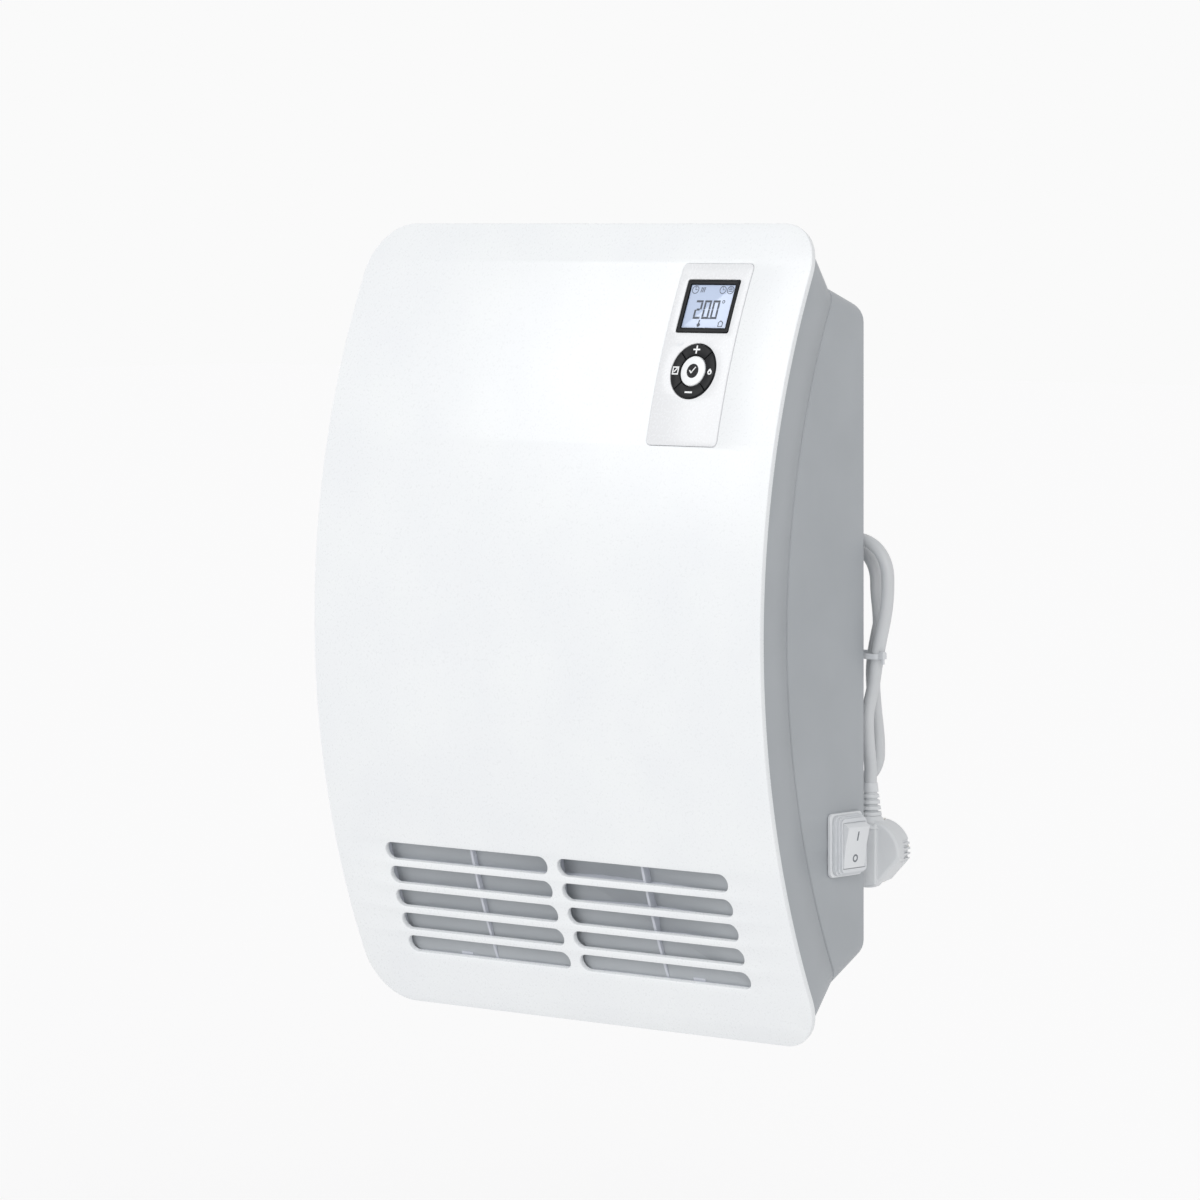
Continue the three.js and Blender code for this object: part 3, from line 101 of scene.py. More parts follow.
def rod(name, radius, start, end, sides=48):
    """A cylinder primitive from one point to another."""
    clear_selection()
    a = Vector(start) * MM
    b = Vector(end) * MM
    turn = (b - a).to_track_quat("Z", "Y").to_euler()
    bpy.ops.mesh.primitive_cylinder_add(
        vertices=sides, radius=radius * MM, depth=(b - a).length, location=(a + b) / 2, rotation=turn)
    return settle(name)


def settle(name):
    """Names the new primitive and puts its place into its mesh."""
    piece = bpy.context.object
    piece.name = name
    piece.data.name = name
    bpy.ops.object.transform_apply(location=True, rotation=True, scale=True)
    return piece


def place(piece, location=(0, 0, 0), turn=(0, 0, 0), scale=(1, 1, 1)):
    """Turns a piece about the origin, moves it, and puts the result into its mesh."""
    work_on(piece)
    piece.rotation_euler = Euler([radians(a) for a in turn])
    piece.location = Vector(location) * MM
    piece.scale = scale
    bpy.ops.object.transform_apply(location=True, rotation=True, scale=True)
    return piece


def copy_of(piece, name, location=(0, 0, 0)):
    """A copy with its own mesh."""
    twin = piece.copy()
    twin.data = piece.data.copy()
    twin.name = name
    twin.data.name = name
    bpy.context.collection.objects.link(twin)
    return place(twin, location)


def pick(piece, test, what="FACE"):
    """In edit mode, selects the faces whose middle, in millimetres, and normal pass a test.

    With edges, the test gets the edge's middle and the way that it runs.
    """
    work_on(piece)
    bpy.ops.object.mode_set(mode="EDIT")
    bpy.ops.mesh.select_mode(type=what)
    bpy.ops.mesh.select_all(action="DESELECT")
    mesh = bmesh.from_edit_mesh(piece.data)
    if what == "FACE":
        for face in mesh.faces:
            face.select_set(test(face.calc_center_median() / MM, face.normal))
    else:
        for edge in mesh.edges:
            a, b = (v.co for v in edge.verts)
            edge.select_set(test((a + b) / 2 / MM, (b - a).normalized()))
    mesh.select_flush_mode()
    bmesh.update_edit_mesh(piece.data)


def round_edges(piece, test, radius, segments=3):
    """Bevels the edges that pass a test."""
    pick(piece, test, "EDGE")
    bpy.ops.mesh.bevel(offset=radius * MM, segments=segments, affect="EDGES", profile=0.5)
    bpy.ops.object.mode_set(mode="OBJECT")
    return piece


def finish_with(piece, kind, **settings):
    """Adds a modifier and applies it."""
    work_on(piece)
    modifier = piece.modifiers.new(kind.lower(), kind)
    for name, value in settings.items():
        setattr(modifier, name, value)
    bpy.ops.object.modifier_apply(modifier=modifier.name)
    return piece


def soften(piece, radius, segments=2, angle=35):
    """Rounds every edge that is sharper than an angle."""
    return finish_with(piece, "BEVEL", width=radius * MM, segments=segments, limit_method="ANGLE",
                       angle_limit=radians(angle), use_clamp_overlap=True)


def combine(piece, *others, operation="DIFFERENCE"):
    """Cuts the others from a piece, or joins them to it, and removes them."""
    for other in others:
        finish_with(piece, "BOOLEAN", operation=operation, object=other, solver="EXACT")
        bpy.data.objects.remove(other)
    return piece


def gather(name, *pieces):
    """Joins pieces into one object."""
    work_on(*pieces)
    bpy.ops.object.join()
    bpy.context.object.name = name
    return bpy.context.object


def slice_across(piece, low, high, step):
    """Adds a cut across a flat piece every few millimetres of its height, so that it can bend."""
    work_on(piece)
    bpy.ops.object.mode_set(mode="EDIT")
    count = max(2, round((high - low) / step))
    for i in range(1, count):
        bpy.ops.mesh.select_all(action="SELECT")
        height = (low + (high - low) * i / count) * MM
        bpy.ops.mesh.bisect(plane_co=(0, 0, height), plane_no=(0, 0, 1))
    bpy.ops.object.mode_set(mode="OBJECT")
    return piece


def bend_to_bow(piece):
    """Bends a piece that was made flat, with Y as its depth behind the panel's front and Z along the bow."""
    heights = [v.co.z for v in piece.data.vertices]
    extent = max(heights) - min(heights)
    finish_with(piece, "SIMPLE_DEFORM", deform_method="BEND", deform_axis="X", angle=extent / (BOW_R * MM))
    return place(piece, (0, -DEPTH, -HANG_Z))


def on_bow(piece, arc, x=0.0):
    """Sets a rigid piece, made about the origin with Y into the panel, on the bow's front."""
    angle = arc / BOW_R
    at = (x, BOW_R - DEPTH - BOW_R * cos(angle), BOW_R * sin(angle) - HANG_Z)
    return place(piece, at, (-degrees(angle), 0, 0))


def done(piece, body, material, slot, *nodes, angle=30):
    """Shades a finished piece, gives it its material, and ties it to the solid model."""
    work_on(piece)
    if piece.type == "MESH":
        bpy.ops.object.shade_smooth_by_angle(angle=radians(angle))
    piece.data.materials.clear()
    piece.data.materials.append(material)
    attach(piece, body)
    if nodes:
        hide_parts(*nodes)
    return piece


# ---- Materials ------------------------------------------------------------------------------------


def linear(code):
    """An sRGB hex colour as linear values."""
    channels = [int(code[i:i + 2], 16) / 255 for i in (1, 3, 5)]
    return [c / 12.92 if c <= 0.04045 else ((c + 0.055) / 1.055) ** 2.4 for c in channels] + [1.0]


def add(tree, kind, settings=None, inputs=None):
    """Adds a node. An input is a value, or another node's output that it is linked from."""
    made = tree.nodes.new("ShaderNode" + kind)
    for name, value in (settings or {}).items():
        setattr(made, name, value)
    for name, value in (inputs or {}).items():
        if isinstance(value, bpy.types.NodeSocket):
            tree.links.new(value, made.inputs[name])
        else:
            made.inputs[name].default_value = value
    return made


def blank(name):
    """An empty material and its node tree."""
    material = bpy.data.materials.new(name)
    material.use_nodes = True
    material.node_tree.nodes.clear()
    return material, material.node_tree


def close(tree, shader):
    add(tree, "OutputMaterial", inputs={"Surface": shader.outputs[0]})


def looked_at(tree):
    """1 for what the camera sees, straight on, mirrored or through glass, and 0 for light on its way."""
    path = add(tree, "LightPath")
    seen = add(tree, "Math", {"operation": "MAXIMUM"}, {
        0: path.outputs["Is Camera Ray"], 1: path.outputs["Is Glossy Ray"]})
    seen = add(tree, "Math", {"operation": "MAXIMUM"}, {
        0: seen.outputs[0], 1: path.outputs["Is Transmission Ray"]})
    return seen.outputs[0]


def moulded(name, light, dark, roughness, grain, depth, ior=1.53, coat=0.0):
    """Moulded plastic: a faint cloud in its colour, a fine skin in its gloss and a grain of a real size."""
    material, tree = blank(name)
    where = add(tree, "TexCoord").outputs["Object"]
    cloud = add(tree, "TexNoise", inputs={"Vector": where, "Scale": 22.0, "Detail": 3.0})
    colour = add(tree, "ValToRGB", inputs={"Fac": cloud.outputs["Fac"]})
    colour.color_ramp.elements[0].position = 0.3
    colour.color_ramp.elements[0].color = linear(dark)
    colour.color_ramp.elements[1].position = 0.7
    colour.color_ramp.elements[1].color = linear(light)
    skin = add(tree, "TexNoise", inputs={"Vector": where, "Scale": 1 / (grain * MM), "Detail": 4.0})
    gloss = add(tree, "MapRange", inputs={
        "Value": skin.outputs["Fac"], "From Min": 0.3, "From Max": 0.7,
        "To Min": roughness - 0.05, "To Max": roughness + 0.05})
    bump = add(tree, "Bump", inputs={"Height": skin.outputs["Fac"], "Strength": 0.5, "Distance": depth * MM})
    shader = add(tree, "BsdfPrincipled", inputs={
        "Base Color": colour.outputs["Color"], "Roughness": gloss.outputs["Result"],
        "Normal": bump.outputs["Normal"], "IOR": ior, "Coat Weight": coat, "Coat Roughness": 0.12})
    close(tree, shader)
    return material


def metal(name, light, dark, roughness, grain):
    """Bare or plated metal: fine lines along X vary its gloss, a slow cloud its colour."""
    material, tree = blank(name)
    where = add(tree, "TexCoord").outputs["Object"]
    cloud = add(tree, "TexNoise", inputs={"Vector": where, "Scale": 60.0, "Detail": 3.0})
    colour = add(tree, "ValToRGB", inputs={"Fac": cloud.outputs["Fac"]})
    colour.color_ramp.elements[0].position = 0.3
    colour.color_ramp.elements[0].color = linear(dark)
    colour.color_ramp.elements[1].position = 0.7
    colour.color_ramp.elements[1].color = linear(light)
    drawn = add(tree, "Mapping", inputs={"Vector": where, "Scale": (0.05, 1.0, 1.0)})
    lines = add(tree, "TexNoise", inputs={
        "Vector": drawn.outputs["Vector"], "Scale": 1 / (grain * MM), "Detail": 4.0})
    gloss = add(tree, "MapRange", inputs={
        "Value": lines.outputs["Fac"], "From Min": 0.3, "From Max": 0.7,
        "To Min": roughness - 0.08, "To Max": roughness + 0.08})
    shader = add(tree, "BsdfPrincipled", inputs={
        "Base Color": colour.outputs["Color"], "Roughness": gloss.outputs["Result"], "Metallic": 1.0})
    close(tree, shader)
    return material


# Gloss ABS, injection moulded in a polished tool: smooth and faintly uneven, with a soft reflection.
white_abs = moulded("gloss_white_abs", "#EFF1F2", "#ECEEF0", 0.30, 1.2, 0.010)
# ABS moulded in a spark-eroded tool: an even, fine matt grain.
grey_abs = moulded("grained_grey_abs", "#AEB2B6", "#A9ADB1", 0.48, 0.7, 0.030)
# The grille's ABS, moulded thin: the same grain in a lighter grey.
grille_abs = moulded("grained_light_grey_abs", "#C9CCD4", "#C3C6CE", 0.45, 0.8, 0.020)
# The control plate's ABS: brighter and smoother than the panel round it.
white_plate = moulded("smooth_white_abs", "#E7E8EA", "#E4E5E7", 0.26, 1.5, 0.006)
# Black ABS with a satin skin, as on keys that are touched often.
black_abs = moulded("satin_black_abs", "#101215", "#0D0F12", 0.34, 0.9, 0.012, ior=1.26)
# A display's glass over its pale, lit ground.
lcd_glass = moulded("lit_display_glass", "#C0CEE8", "#BCCAE4", 0.10, 3.0, 0.001, ior=1.5, coat=0.5)
# PVC sheath, extruded over twisted cores: satin, slightly oily.
pvc_sheath = moulded("extruded_grey_pvc", "#D3D5D7", "#CCCED0", 0.42, 2.2, 0.030)

# The display's dark segments, seen through its glass.
lcd_ink = moulded("display_segments", "#3A4250", "#353D4A", 0.35, 2.0, 0.001)
# Marks printed in white, light grey and mid grey: thin, matt ink.
white_ink = moulded("white_print", "#F4F5F6", "#EEF0F1", 0.5, 0.6, 0.003)
faint_ink = moulded("faint_grey_print", "#DDE0E3", "#DADDE0", 0.5, 0.6, 0.003)
grey_ink = moulded("mid_grey_print", "#777C82", "#70757B", 0.5, 0.6, 0.003)
# Nylon of the switch: hard, white and lightly glossy.
white_nylon = moulded("white_nylon", "#E6E8EA", "#E1E3E6", 0.36, 1.0, 0.012)
# Soft PVC of boot and tie, and the greyer one moulded on the lead.
soft_white = moulded("soft_white_pvc", "#DEE0E3", "#D8DBDE", 0.5, 1.4, 0.02)
soft_grey = moulded("moulded_grey_pvc", "#DEE0E2", "#D8DADC", 0.46, 1.4, 0.025)
# Glass-filled black-grey plastic of the inner parts.
dark_abs = moulded("dark_filled_plastic", "#4A4E52", "#42464A", 0.55, 0.8, 0.04)
black_rubber = moulded("black_rubber", "#2B2B2D", "#242426", 0.8, 0.5, 0.03)
steatite = moulded("white_steatite", "#E6E2D8", "#DDD9CE", 0.6, 0.6, 0.02)
lcd_ground = moulded("display_ground", "#9FB2CF", "#98ABC8", 0.4, 2.0, 0.002)
# Mica board: pale brown flakes pressed in layers.
mica_board = moulded("pressed_mica_board", "#CDBB94", "#BBA77C", 0.5, 2.5, 0.05)
filter_foam = moulded("grey_filter_foam", "#6F757B", "#545A60", 0.95, 1.2, 0.3)
# Etched laminate of glass fibre and resin under green lacquer.
fibreglass_board = moulded("green_lacquered_laminate", "#2F6B45", "#285E3C", 0.35, 1.0, 0.01)
# Zinc-plated steel, stamped: fine rolling lines and a soft metal shine.
zinc_steel = metal("zinc_plated_steel", "#B4B8BC", "#A4A8AC", 0.34, 0.9)
# Punched electrical steel, stacked: dull and slightly brown.
steel_sheets = metal("stacked_steel_sheets", "#8E9092", "#7C7D7F", 0.5, 0.5)
mill_aluminium = metal("mill_aluminium", "#CDD0D3", "#C0C3C6", 0.38, 0.8)
enamelled_copper = metal("enamelled_copper_wire", "#B06A3B", "#9A5830", 0.35, 0.3)
sintered_bronze = metal("oiled_sintered_bronze", "#A88448", "#94723A", 0.45, 0.4)
nickel_brass = metal("nickel_plated_brass", "#C9C7C0", "#BDBBB3", 0.22, 1.2)

# ---- Camera, light and floor ----------------------------------------------------------------------

scene = bpy.context.scene
scene.view_settings.view_transform = "Standard"

clear_selection()
bpy.ops.object.camera_add(location=(2.14917, -2.54264, 0.09553), rotation=(pi / 2, 0, 0.712))
camera = bpy.context.object
camera.data.lens = 167.79
camera.data.sensor_width = 36.0
camera.data.shift_x = 0.0
camera.data.shift_y = -0.31483
camera.data.dof.use_dof = False
scene.camera = camera

# Two broad, soft lights, from the front left and the front right, and an even fill from all round.
for energy, tilt, turn in ((0.88, 62, -28), (0.72, 62, 50)):
    clear_selection()
    bpy.ops.object.light_add(type="SUN", rotation=(radians(tilt), 0, radians(turn)))
    sun = bpy.context.object
    sun.data.energy = energy
    sun.data.angle = radians(36)

world = bpy.data.worlds.new("studio")
world.use_nodes = True
scene.world = world
tree = world.node_tree
tree.nodes.clear()
fill = add(tree, "Background", inputs={"Color": linear("#F9FAFB"), "Strength": 0.58})
backdrop = add(tree, "Background", inputs={"Color": linear("#FAFAFA"), "Strength": 1.0})
mixed = add(tree, "MixShader", inputs={"Fac": looked_at(tree), 1: fill.outputs[0], 2: backdrop.outputs[0]})
add(tree, "OutputWorld", inputs={"Surface": mixed.outputs[0]})

FLOOR_Z = -700.0
clear_selection()
bpy.ops.mesh.primitive_plane_add(size=40, location=(0, 0, FLOOR_Z * MM))
floor = settle("floor")
pale, tree = blank("pale_painted_floor")
# A little glow lifts the floor to the backdrop's brightness where it is looked at; its shadows stay.
lift = add(tree, "Math", {"operation": "MULTIPLY_ADD"}, {0: looked_at(tree), 1: 0.129, 2: 0.09})
paint = add(tree, "BsdfDiffuse", inputs={"Color": linear("#F8F8F8")})
glow = add(tree, "Emission", inputs={"Color": linear("#FFFCFB"), "Strength": lift.outputs[0]})
close(tree, add(tree, "AddShader", inputs={0: paint.outputs[0], 1: glow.outputs[0]}))
floor.data.materials.append(pale)

# ---- Mains lead -----------------------------------------------------------------------------------

HANK_X = 147.5  # middle of the last turn
HANK_Y = 6.0
HANK_TOP = 53.0
HANK_BOTTOM = -91.0
HANK_TOP_R = 21.5
HANK_BOTTOM_R = 16.0
HANK_TURNS = 2.25
HANK_STEP = 10.0  # between neighbouring turns
HANK_LEAN = 45.0
HANK_LEAN_TOP = 20.0
HANK_SPREAD = 13.0
HANK_WAIST = 5.6
HANK_RISE = 4.0
HANK_TWIST = 36.0
HANK_DRIFT = (-11.5, 6.5)
HANK_WAIST_Z = -10.0
TIE_Z = -15.0
SLEEVE_ROOT = Vector((49.5, 6.5, 45.3))
SLEEVE_WAY = Vector((30, 11, -1)).normalized()
SLEEVE_TIP = SLEEVE_ROOT + SLEEVE_WAY * 26
PLUG = Vector((148.3, 16.0, -130.0))
PLUG_TURN = 20.0
RELIEF_TOP = -90.0


def smooth(t):
    t = min(max(t, 0.0), 1.0)
    return t * t * (3 - 2 * t)


def between(a, b, t):
    return a + (b - a) * t


def hank_side(share):
    """Half the width of a turn, at a share of the way down its straight run."""
    return between(HANK_TOP_R, HANK_BOTTOM_R, smooth(share)) - HANK_WAIST * sin(pi * share) ** 3


def hank_point(turns):
    """The hank's middle line after so many turns, from the top, clockwise as seen from the room."""
    top_z = HANK_TOP - HANK_TOP_R
    bottom_z = HANK_BOTTOM + HANK_BOTTOM_R
    quarter = pi / 2 * HANK_TOP_R
    run = top_z - bottom_z
    fold = pi * HANK_BOTTOM_R
    turn = 2 * quarter + 2 * run + fold
    left = HANK_TURNS - turns
    along = turns % 1 * turn
    if along < quarter or along >= turn - quarter:
        a = (along if along < quarter else along - turn) / HANK_TOP_R
        u = HANK_TOP_R * sin(a)
        z = top_z + HANK_TOP_R * cos(a)
    elif along < quarter + run:
        u = hank_side((along - quarter) / run)
        z = between(top_z, bottom_z, (along - quarter) / run)
    elif along < quarter + run + fold:
        a = (along - quarter - run) / HANK_BOTTOM_R
        u = HANK_BOTTOM_R * cos(a)
        z = bottom_z - HANK_BOTTOM_R * sin(a)
    else:
        u = -hank_side((turn - quarter - along) / run)
        z = between(top_z, bottom_z, (turn - quarter - along) / run)
    below = (HANK_WAIST_Z - z) / (HANK_WAIST_Z - bottom_z)
    above = smooth((z - HANK_WAIST_Z) / (top_z - HANK_WAIST_Z))
    hang = smooth(below)
    drift = smooth(1.3 * below)
    lean = radians(between(HANK_LEAN, HANK_TWIST, hang) + (HANK_LEAN_TOP - HANK_LEAN) * above)
    twist = radians(HANK_TWIST * hang)
    inwards = HANK_STEP * left * sin(lean) + HANK_SPREAD * smooth(left) * above
    return Vector((
        HANK_X + u * cos(twist) - inwards + HANK_DRIFT[0] * drift,
        HANK_Y + u * sin(twist) + HANK_STEP * left * cos(lean) + HANK_DRIFT[1] * drift,
        z - HANK_RISE * left * above))


def catmull_rom(points, count):
    """A smooth line through points, with its knots spaced by the root of their distance."""
    ends = [points[0] * 2 - points[1]] + list(points) + [points[-1] * 2 - points[-2]]
    knots = [0.0]
    for a, b in zip(ends, ends[1:]):
        knots.append(knots[-1] + sqrt(max((b - a).length, 1e-6)))
    line = []
    for i in range(1, len(ends) - 2):
        p = ends[i - 1:i + 3]
        k = knots[i - 1:i + 3]
        for j in range(count):
            t = between(k[1], k[2], j / count)
            a = [p[n] * ((k[n + 1] - t) / (k[n + 1] - k[n])) + p[n + 1] * ((t - k[n]) / (k[n + 1] - k[n]))
                 for n in range(3)]
            b = [a[n] * ((k[n + 2] - t) / (k[n + 2] - k[n])) + a[n + 1] * ((t - k[n]) / (k[n + 2] - k[n]))
                 for n in range(2)]
            line.append(b[0] * ((k[2] - t) / (k[2] - k[1])) + b[1] * ((t - k[1]) / (k[2] - k[1])))
    line.append(points[-1])
    return line


LEAD_END = CORD_R * 2
hank_start = hank_point(0)
hank_end = hank_point(HANK_TURNS)
start_way = (hank_point(0.008) - hank_start).normalized()
end_way = (hank_end - hank_point(HANK_TURNS - 0.008)).normalized()
first = hank_start - start_way * LEAD_END
last = hank_end + end_way * LEAD_END
exit_run = catmull_rom([
    SLEEVE_TIP + SLEEVE_WAY * GAP, SLEEVE_TIP + SLEEVE_WAY * (GAP + 6),
    first - start_way * 3 * CORD_R + Vector((0, -1, 0.3)), first - start_way * GAP], 12)
LOOP_POINTS = 270
loops = [hank_point(HANK_TURNS * i / LOOP_POINTS) for i in range(LOOP_POINTS + 1)]
plug_run = catmull_rom([
    last + end_way * GAP, last + end_way * 8, Vector((PLUG.x + 3.5, PLUG.y - 7, -50)),
    Vector((PLUG.x, PLUG.y, RELIEF_TOP + 8)), Vector((PLUG.x, PLUG.y, RELIEF_TOP + GAP))], 12)
lead_line = [p + Vector((0, 0, -HANG_Z)) for p in exit_run[:-1] + loops + plug_run]

clear_selection()
bpy.ops.curve.primitive_bezier_curve_add()
mains_lead = bpy.context.object
mains_lead.name = "mains_lead"
mains_lead.data.name = "mains_lead"
mains_lead.data.splines.clear()
spline = mains_lead.data.splines.new("POLY")
spline.points.add(len(lead_line) - 1)
for point, at in zip(spline.points, lead_line):
    point.co = (*(at * MM), 1.0)
mains_lead.data.dimensions = "3D"
mains_lead.data.bevel_depth = CORD_R * MM
mains_lead.data.bevel_resolution = 6
mains_lead.data.use_fill_caps = True
done(mains_lead, "heater", pvc_sheath, "cord", "cord_exit_run", "cord_hank", "cord_plug_run")

# ---- Front panel ----------------------------------------------------------------------------------

SLOT_ARCS = [102.75 - arc_at(PANEL_HALF_H) - 15.25 * row for row in range(5)]
SLOT_X0 = 4.0
SLOT_X1 = 132.3
SLOT_HALF_H = 5.5
PLATE_X = 104.5
PLATE_HALF_W = 26.0
PLATE_HIGH = arc_at(PANEL_HALF_H) - 26
PLATE_LOW = PLATE_HIGH - 109.5
PLATE_T = 2.0
TOP_ARC = arc_at(PANEL_HALF_H)
runs_back = lambda at, way: abs(way.y) > 0.9


def plate_block(name, grow, y0, y1, corner):
    """A block with the control plate's outline."""
    made = block(name, PLATE_X - PLATE_HALF_W - grow, PLATE_X + PLATE_HALF_W + grow, y0, y1,
                 PLATE_LOW - grow, PLATE_HIGH + grow)
    return round_edges(made, runs_back, corner, 5)


panel = block("front_panel_skin", -PANEL_HALF_W, PANEL_HALF_W, 0, PANEL_T, -0.9 * TOP_ARC, 0.9 * TOP_ARC)
round_edges(panel, runs_back, 29, 14)
place(panel, scale=(1, 1, 1 / 0.9))
slot = block("slot", SLOT_X0, SLOT_X1, -9, 9, -SLOT_HALF_H, SLOT_HALF_H)
round_edges(slot, runs_back, SLOT_HALF_H - 0.05, 7)
slots = [copy_of(slot, "slot_row", (side, 0, arc)) for arc in SLOT_ARCS for side in (0, -SLOT_X0 - SLOT_X1)]
bpy.data.objects.remove(slot)
combine(panel, gather("slots", *slots), plate_block("seat", 0.15, -9, PLATE_T + GAP, 3.2),
        plate_block("window", -4, -9, 9, 1))
soften(panel, 0.7, 3)
slice_across(panel, -TOP_ARC, TOP_ARC, 4.5)
bend_to_bow(panel)
done(panel, "heater", white_abs, "panel", "front_panel")

# ---- Flared frame and rear housing ----------------------------------------------------------------

CORNER_CUTS = 8
SIDE_CUTS = 64


def ring(half, low, high, corner, depth):
    """The outline of one station of the casing, flat: a plane with rounded corners, left without its face."""
    clear_selection()
    centre = Vector((0, depth, (low + high) / 2)) * MM
    bpy.ops.mesh.primitive_plane_add(size=1, location=centre, rotation=(pi / 2, 0, 0))
    bpy.context.object.scale = (2 * half * MM, (high - low) * MM, 1)
    made = settle("ring")
    bpy.ops.object.mode_set(mode="EDIT")
    bpy.ops.mesh.select_all(action="SELECT")
    bpy.ops.mesh.bevel(offset=corner * MM, segments=CORNER_CUTS, affect="VERTICES")
    bpy.ops.mesh.select_all(action="SELECT")
    bpy.ops.mesh.delete(type="ONLY_FACE")
    pick(made, lambda at, way: abs(way.z) > 0.999 and abs(at.x) > half - 0.01, "EDGE")
    bpy.ops.mesh.subdivide(number_cuts=SIDE_CUTS)
    bpy.ops.object.mode_set(mode="OBJECT")
    return made


def skin(name, *rings):
    """Bridges rings that follow each other."""
    made = gather(name, *rings)
    bpy.ops.object.mode_set(mode="EDIT")
    bpy.ops.mesh.select_all(action="SELECT")
    bpy.ops.mesh.bridge_edge_loops()
    bpy.ops.mesh.select_all(action="SELECT")
    bpy.ops.mesh.normals_make_consistent(inside=False)
    bpy.ops.object.mode_set(mode="OBJECT")
    return made


KNEE_LOW = arc_at(-204, 40)
KNEE_HIGH = arc_at(200, 40)
FRAME_TOP = arc_at(231, 3.8)
flare = skin(
    "flared_frame_shell",
    ring(137.5, -213, 220, 3, 3.8),
    ring(168.5, -FRAME_TOP, FRAME_TOP, 25, 3.8),
    ring(159, KNEE_LOW, KNEE_HIGH, 15, 40))
finish_with(flare, "SOLIDIFY", thickness=WALL * MM, offset=-1)
soften(flare, 0.5, 2, 50)
bend_to_bow(flare)
done(flare, "heater", grey_abs, "casing", "front_frame")

housing = skin(
    "rear_housing_shell",
    ring(157.8, KNEE_LOW + 1.2, KNEE_HIGH - 1.2, 14, 40.3),
    ring(159, KNEE_LOW, KNEE_HIGH, 15, 41.5))
bend_to_bow(housing)
on_rear_ring = lambda at, way: at.y > bow_y(at.z + HANG_Z, 41.3)
pick(housing, on_rear_ring, "EDGE")
bpy.ops.mesh.extrude_edges_move()
bpy.ops.transform.resize(value=(156.9 / 159, 0, 380 / 404), center_override=(0, 0, (31.67 - HANG_Z) * MM))
bpy.ops.mesh.edge_face_add()
bpy.ops.object.mode_set(mode="OBJECT")
round_edges(housing, lambda at, way: abs(at.y) < 0.01 and abs(way.y) < 0.5, 2.2, 4)
finish_with(housing, "SOLIDIFY", thickness=WALL * MM, offset=-1)

SWITCH = Vector((156.9, -22.3, -121.2 - HANG_Z))
GLAND = Vector((SLEEVE_ROOT.x, 0, SLEEVE_ROOT.z - HANG_Z))
POCKET_X = 93.0
POCKET_Z = 23.0
POCKET_Y = 3.4
POSTS = [Vector((side * 147.9, 0, height - HANG_Z)) for side in (-1, 1) for height in (-180, 180)]
combine(
    housing,
    block("pocket_walls", -POCKET_X - WALL, POCKET_X + WALL, -POCKET_Y - WALL, -1,
          -POCKET_Z - WALL, POCKET_Z + WALL),
    block("switch_pad", SWITCH.x - 2, SWITCH.x + 1.3, SWITCH.y - 15.25, SWITCH.y + 15.25,
          SWITCH.z - 18.75, SWITCH.z + 18.75),
    *[rod("screw_boss", 6, post + Vector((0, -5, 0)), post + Vector((0, -1, 0))) for post in POSTS],
    operation="UNION")
pocket = block("pocket", -POCKET_X, POCKET_X, -POCKET_Y, 1, -POCKET_Z, POCKET_Z)
round_edges(pocket, runs_back, 4, 4)
combine(
    housing, pocket,
    block("switch_hole", SWITCH.x - 8, SWITCH.x + 3, SWITCH.y - 11.9, SWITCH.y + 11.9,
          SWITCH.z - 15.9, SWITCH.z + 15.9),
    rod("gland_hole", 6.8, GLAND + Vector((0, -9, 0)), GLAND + Vector((0, 2, 0))),
    *[block("hook_hole", side * 62 - 10, side * 62 + 10, -9, 1, -4, 2.3) for side in (-1, 1)],
    *[rod("screw_hole", 2.1, post + Vector((0, -9, 0)), post + Vector((0, 1, 0)), 24) for post in POSTS],
    *[rod("screw_seat", 3.7, post + Vector((0, -2.4, 0)), post + Vector((0, 1, 0)), 24) for post in POSTS])
intake = block("intake", -97.5, -92.5, -22, -9, 40, 70)
round_edges(intake, lambda at, way: abs(way.z) > 0.9, 2.4, 4)
intakes = [copy_of(intake, "intake_row", (10 * i, 0, 0)) for i in range(20)]
bpy.data.objects.remove(intake)
combine(housing, gather("intakes", *intakes))
soften(housing, 0.4, 2, 50)
done(housing, "heater", grey_abs, "casing", "rear_housing")

# ---- Outlet grille --------------------------------------------------------------------------------

GRILLE_HALF_W = SLOT_X1 + 3
GRILLE_WALL = 1.8
BLADE_SLOPE = 25.0
grille_top = bow_z(SLOT_ARCS[0] + 8.625)
grille_bottom = bow_z(SLOT_ARCS[-1] - 6.125)


def upright(name, x0, x1, y0, y1, z0, z1):
    """A block whose heights count from the panel's middle."""
    return block(name, x0, x1, y0, y1, z0 - HANG_Z, z1 - HANG_Z)


grille = upright("outlet_grille", -GRILLE_HALF_W, GRILLE_HALF_W, -DEPTH, -40, grille_bottom, grille_top)
combine(grille, upright("mouth", -GRILLE_HALF_W + GRILLE_WALL, GRILLE_HALF_W - GRILLE_WALL, -DEPTH - 1, -39,
                        grille_bottom + GRILLE_WALL, grille_top - GRILLE_WALL))
parts = [upright("rib", x - 0.9, x + 0.9, -DEPTH, -40, grille_bottom + 0.5, grille_top - 0.5)
         for x in (-SLOT_X1 / 2, 0, SLOT_X1 / 2)]
for arc in SLOT_ARCS:
    low = bow_z(arc - SLOT_HALF_H) - 0.9
    blade = block("blade", -GRILLE_HALF_W + 0.9, GRILLE_HALF_W - 0.9, -4, 44, -GRILLE_WALL, 0)
    parts.append(place(blade, (0, bow_y(low, 4.0), low - HANG_Z), (BLADE_SLOPE, 0, 0)))
low = bow_z(SLOT_ARCS[-1] - SLOT_HALF_H) - 0.9
